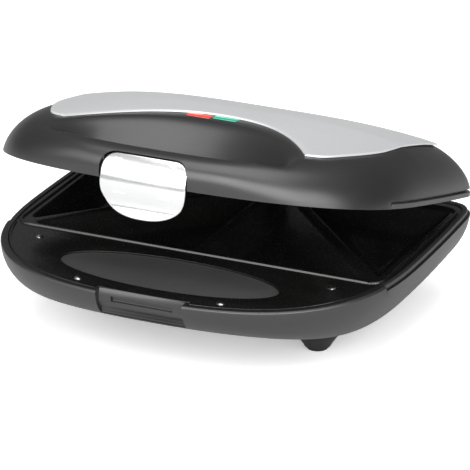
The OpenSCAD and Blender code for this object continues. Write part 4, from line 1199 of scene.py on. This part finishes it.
class TOASTER_OT_latch(bpy.types.Operator):
    """Chrome latch: bowed face with round shoulders, a crease, a finger lip and the hook behind"""
    bl_idname = "toaster.latch"
    bl_label = "Latch"

    def execute(self, context):
        g = current_form()
        place = g.on_latch()
        outline = []
        for t in spread(0, 1, 34):
            # Closer steps near the top and the bottom, where the outline turns fast
            s = 0.5 - 0.5 * math.cos(math.pi * t)
            z = mix(g.latch_up - 0.02, -g.latch_down + 0.02, s)
            outline.append((g.latch_half(z), z))
        n = 44
        thick, soft = g.latch_t, 0.75

        def layer(drawn, back):
            rows = []
            for half, z in outline:
                zz = mix(z, -2.5, drawn / (g.latch_up + g.latch_down) * 2)
                half = max(half - drawn, 0.3)
                row = []
                for k in range(n + 1):
                    u = math.sin(math.pi / 2 * (2 * k / n - 1))
                    bow = 1.3 * (u * half / 26) ** 2
                    row.append((u * half, -g.face_y(zz) + back * (1 - 0.3 * bow / 1.3) + bow, zz))
                rows.append(row)
            return rows

        # Front face, rounded rim and back as nested loops
        def loop_of(rows):
            return (rows[0] + [r[-1] for r in rows[1:-1]] + rows[-1][::-1] + [r[0] for r in rows[-2:0:-1]])

        front = layer(soft, 0)
        verts = [v for row in front for v in row]
        faces = ring_faces(n + 1, len(front), caps=False, closed=False)
        loops = []
        for k in range(1, 7):
            a = math.pi / 2 * k / 6
            loops.append(loop_of(layer(soft * (1 - math.sin(a)), soft * (1 - math.cos(a)))))
        loops.append(loop_of(layer(0, thick - 0.4)))
        loops.append(loop_of(layer(0.4, thick)))
        first = [(0, col) for col in range(n + 1)]
        first += [(row, n) for row in range(1, len(front) - 1)]
        first += [(len(front) - 1, col) for col in range(n, -1, -1)]
        first += [(row, 0) for row in range(len(front) - 2, 0, -1)]
        ids = [row * (n + 1) + col for row, col in first]
        m = len(ids)
        for loop in loops:
            base = len(verts)
            verts += loop
            now = list(range(base, base + m))
            faces += [(ids[i], ids[(i + 1) % m], now[(i + 1) % m], now[i]) for i in range(m)]
            ids = now
        back = layer(0.4, thick)
        base = len(verts)
        verts += [v for row in back for v in row]
        faces += [tuple(base + i for i in f) for f in ring_faces(n + 1, len(back), caps=False, closed=False)]
        face = mesh_piece("latch_face", verts, faces, place, 40)

        knuckle = rod("knuckle", (-g.latch_w * 0.36, -g.latch_y, g.latch_z), "X", 2.9, g.latch_w * 0.72, place)
        y_face = -g.face_y(g.latch_z) + 1
        low, high = g.latch_z - 2, g.latch_z + 2
        web = side_prism("web", [(y_face, low), (-g.latch_y, low), (-g.latch_y, high), (y_face, high)],
                         -g.latch_w * 0.36, g.latch_w * 0.36, place)
        tip = -(g.bow_d - 4.4 - 0.75)
        y_hook = -g.face_y(-5.2) + 1
        hook = side_prism("hook", rounded([(y_hook, -7.0), (tip, -7.0), (tip, -5.0), (y_hook, -5.0)],
                                          [0, 0.5, 0.9, 0]), -17, 17, place)
        hand_over(joined("latch_chrome", [face, knuckle, web, hook]), "latch", "chrome_latch", "latch")
        return {"FINISHED"}


class TOASTER_OT_feet(bpy.types.Operator):
    """Tapered feet with rubber pads, and the hinge pins"""
    bl_idname = "toaster.feet"
    bl_label = "Feet and pins"

    def execute(self, context):
        g = current_form()
        floor = g.rim_h - g.base_drop
        place = g.placed()
        body = [(0, 2.2), (6.2, 2.2), (6.2, 1.6), (6.9, 1.62), (7.6, 1.9), (8.0, 2.5), (8.2, 3.2),
                (12.2, floor - 5.2), (13.2, floor - 3.4), (13.8, floor - 1.6), (14, floor - 0.4),
                (14, floor + 1.2), (0, floor + 1.2)]
        pad = [(0, 0.0), (5.4, 0.0), (5.9, 0.12), (6.15, 0.5), (6.15, 2.4), (0, 2.4)]
        for end, y in g.foot_y.items():
            pieces = [lathe("foot", body, place @ Matrix.Translation((s * g.foot_x, y, 0))) for s in (-1, 1)]
            hand_over(joined(end + "_foot_pair", pieces), "base", "foot", end + "_feet")
        pads = [lathe("pad", pad, place @ Matrix.Translation((s * g.foot_x, y, 0)))
                for s in (-1, 1) for y in g.foot_y.values()]
        hand_over(joined("rubber_pads", pads), "base", "pad", "foot_pads")
        pins = []
        for side in (-1, 1):
            x = side * g.knuckle_x - g.pin_reach
            pins.append(rod("pin", (x, g.hinge_y, g.hinge_z), "X", 2, 2 * g.pin_reach, place, 0.3))
            head = x + 2 * g.pin_reach - 0.1 if side > 0 else x - 1.3
            pins.append(rod("head", (head, g.hinge_y, g.hinge_z), "X", 3.2, 1.4, place, 0.4))
        hand_over(joined("hinge_rods", pins), "base", "pin", "hinge_pins")
        return {"FINISHED"}


class TOASTER_OT_inner_parts(bpy.types.Operator):
    """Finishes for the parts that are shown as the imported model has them"""
    bl_idname = "toaster.inner_parts"
    bl_label = "Inner parts"

    def execute(self, context):
        looks = finishes()
        slots = {row["node"]: row["material_slot"] for row in frame["record"]["subparts"]}
        for name, obj in frame["nodes"].items():
            look = looks[slots[name]]
            for slot in obj.material_slots:
                slot.material = look
            if not obj.material_slots:
                obj.data.materials.append(look)
        return {"FINISHED"}


# Brightness of the surroundings by height: 0 is straight down, 0.5 the horizon, 1 overhead
FRONT_SKY = ((0.45, 0.50), (0.55, 0.50), (0.66, 0.55), (0.80, 0.55), (1.0, 0.55))
REAR_SKY = ((0.45, 0.10), (0.56, 0.13), (0.70, 0.16), (0.82, 0.24), (0.92, 0.45), (1.0, 0.55))
# Soft boxes: one overhead, and an arc in front, by the angle from straight ahead and the power
FRONT_ARC = ((-45, 4.2), (-8, 11.5), (30, 12.0), (68, 10.5))
ARC_REACH, ARC_HEIGHT, ARC_SIZE, ARC_AIM = 1.36, 0.74, (1.03, 0.92), (0, 0, 0.09)
TOP_AT, TOP_AIM, TOP_SIZE, TOP_POWER = (0.02, -0.10, 1.45), (0, -0.02, 0.10), (1.40, 1.30), 13
# Half the floor's side, and how much it glows towards the camera so that it reads as white
FLOOR_HALF, FLOOR_GLOW = 6, 0.34
# The photograph's camera: its direction in degrees, its distance, its scale at the plate's rim,
# and how far right of and above the rim's middle it looks
CAMERA_TURN, CAMERA_RISE, CAMERA_REACH = 25.06, 22.58, 2.5
FRAME_PIXELS, PIXELS_PER_MM, AIM_RIGHT_PX, AIM_UP_PX = 470, 1.758, 41.5, 17.4


class TOASTER_OT_stage(bpy.types.Operator):
    """Pale floor, soft boxes, surroundings and the camera at the photograph's angle"""
    bl_idname = "toaster.stage"
    bl_label = "Studio"

    def floor(self, context):
        tone = tuple(context.scene.toaster_colours.floor)
        mesh = bpy.data.meshes.new("floor")
        bm = bmesh.new()
        bmesh.ops.create_grid(bm, x_segments=8, y_segments=8, size=FLOOR_HALF)
        bm.to_mesh(mesh)
        bm.free()
        floor = bpy.data.objects.new("floor", mesh)
        context.scene.collection.objects.link(floor)
        f = Finish("floor")
        seen = f.node("ShaderNodeLightPath").out("Is Camera Ray")
        cloud = f.noise(3, 2.0)
        body = f.blend(cloud, shade(tone, 0.995), shade(tone, 1.0))
        paper = f.node("ShaderNodeBsdfDiffuse", {}, {"Color": body})
        pale = f.node("ShaderNodeBsdfDiffuse", {}, {"Color": (1, 1, 1, 1)})
        lit = f.node("ShaderNodeEmission", {}, {"Color": (1, 1, 1, 1), "Strength": FLOOR_GLOW})
        both = f.node("ShaderNodeAddShader", {}, {0: pale.out(), 1: lit.out()})
        plain = f.node("ShaderNodeMixShader", {}, {0: seen, 1: paper.out(), 2: both.out()})
        f.tree.links.new(plain.out().socket, f.output.inputs["Surface"])
        mesh.materials.append(f.material)

    def soft_box(self, context, name, at, aim, size, power):
        light = bpy.data.lights.new(name, "AREA")
        light.shape, light.size, light.size_y, light.energy = "RECTANGLE", size[0], size[1], power
        obj = bpy.data.objects.new(name, light)
        obj.location = at
        obj.rotation_euler = (Vector(aim) - Vector(at)).to_track_quat("-Z", "Y").to_euler()
        context.scene.collection.objects.link(obj)

    def surroundings(self, context):
        """White to the camera; to all else a bright front and a rear that is dim below the top"""
        world = bpy.data.worlds.new("studio")
        context.scene.world = world
        world.use_nodes = True
        n = Nodes(world.node_tree)
        where = n.node("ShaderNodeTexCoord").out("Generated")
        part = n.node("ShaderNodeSeparateXYZ", {}, {0: where})
        high = part.out("Z") * 0.5 + 0.5
        front = n.node("ShaderNodeMapRange", {"interpolation_type": "SMOOTHSTEP"}, {
            "Value": part.out("Y"), "From Min": 0.25, "From Max": -0.25}).out()
        ahead = n.node("ShaderNodeValToRGB", {"stops": FRONT_SKY}, {0: high}).out()
        behind = n.node("ShaderNodeValToRGB", {"stops": REAR_SKY}, {0: high}).out()
        tone = n.node("ShaderNodeMix", {"data_type": "RGBA"}, {0: front, 6: behind, 7: ahead}).out(2)
        seen = n.node("ShaderNodeLightPath").out("Is Camera Ray")
        soft = n.node("ShaderNodeBackground", {}, {"Color": tone, "Strength": 1.0})
        white = n.node("ShaderNodeBackground", {}, {"Color": (1, 1, 1, 1), "Strength": 1.0})
        both = n.node("ShaderNodeMixShader", {}, {0: seen, 1: soft.out(), 2: white.out()})
        n.join(both.out(), n.tree.nodes.new("ShaderNodeOutputWorld"), "Surface")

    def camera(self, context):
        g = current_form()
        turn, rise, reach = math.radians(CAMERA_TURN), math.radians(CAMERA_RISE), CAMERA_REACH
        toward = Vector((math.sin(turn) * math.cos(rise), -math.cos(turn) * math.cos(rise), math.sin(rise)))
        right = Vector((math.cos(turn), math.sin(turn), 0))
        upward = toward.cross(right)
        rim = Vector((0, g.shift_y, g.rim_h)) * MM
        eye = rim + toward * reach
        aim = rim + (right * AIM_RIGHT_PX + upward * AIM_UP_PX) * (MM / PIXELS_PER_MM)
        data = bpy.data.cameras.new("camera")
        data.sensor_width = 36
        data.lens = data.sensor_width * PIXELS_PER_MM * reach / MM / FRAME_PIXELS
        data.clip_end = 50
        cam = bpy.data.objects.new("camera", data)
        cam.location = eye
        cam.rotation_euler = (aim - eye).to_track_quat("-Z", "Y").to_euler()
        context.scene.collection.objects.link(cam)
        context.scene.camera = cam

    def execute(self, context):
        context.scene.view_settings.view_transform = "Standard"
        self.camera(context)
        self.floor(context)
        self.surroundings(context)
        self.soft_box(context, "overhead", TOP_AT, TOP_AIM, TOP_SIZE, TOP_POWER)
        for number, (turn, power) in enumerate(FRONT_ARC):
            turn = math.radians(turn)
            at = (math.sin(turn) * ARC_REACH, -math.cos(turn) * ARC_REACH, ARC_HEIGHT)
            self.soft_box(context, "front_%d" % number, at, ARC_AIM, ARC_SIZE, power)
        return {"FINISHED"}


class TOASTER_PT_panel(bpy.types.Panel):
    """Lists the sizes, the colours and the steps"""
    bl_label = "Sandwich toaster"
    bl_idname = "TOASTER_PT_panel"
    bl_space_type = "VIEW_3D"
    bl_region_type = "UI"
    bl_category = "Toaster"

    def draw(self, context):
        layout = self.layout
        for group in (context.scene.toaster_sizes, context.scene.toaster_colours):
            box = layout.box()
            for key in group.__annotations__:
                box.prop(group, key)
        for step in STEPS:
            layout.operator(step.bl_idname, text=step.bl_label)


STEPS = (TOASTER_OT_stage, TOASTER_OT_base_casing, TOASTER_OT_frames, TOASTER_OT_cooking_plates,
         TOASTER_OT_lid_casing, TOASTER_OT_silver_panel, TOASTER_OT_lenses, TOASTER_OT_latch,
         TOASTER_OT_feet, TOASTER_OT_inner_parts)
CLASSES = (ToasterSizes, ToasterColours) + STEPS + (TOASTER_PT_panel,)


def register():
    for cls in CLASSES:
        bpy.utils.register_class(cls)
    bpy.types.Scene.toaster_sizes = PointerProperty(type=ToasterSizes)
    bpy.types.Scene.toaster_colours = PointerProperty(type=ToasterColours)


def unregister():
    del bpy.types.Scene.toaster_sizes
    del bpy.types.Scene.toaster_colours
    for cls in reversed(CLASSES):
        bpy.utils.unregister_class(cls)


def main():
    register()
    for step in STEPS:
        group, name = step.bl_idname.split(".")
        getattr(getattr(bpy.ops, group), name)()


if __name__ == "__main__":
    main()
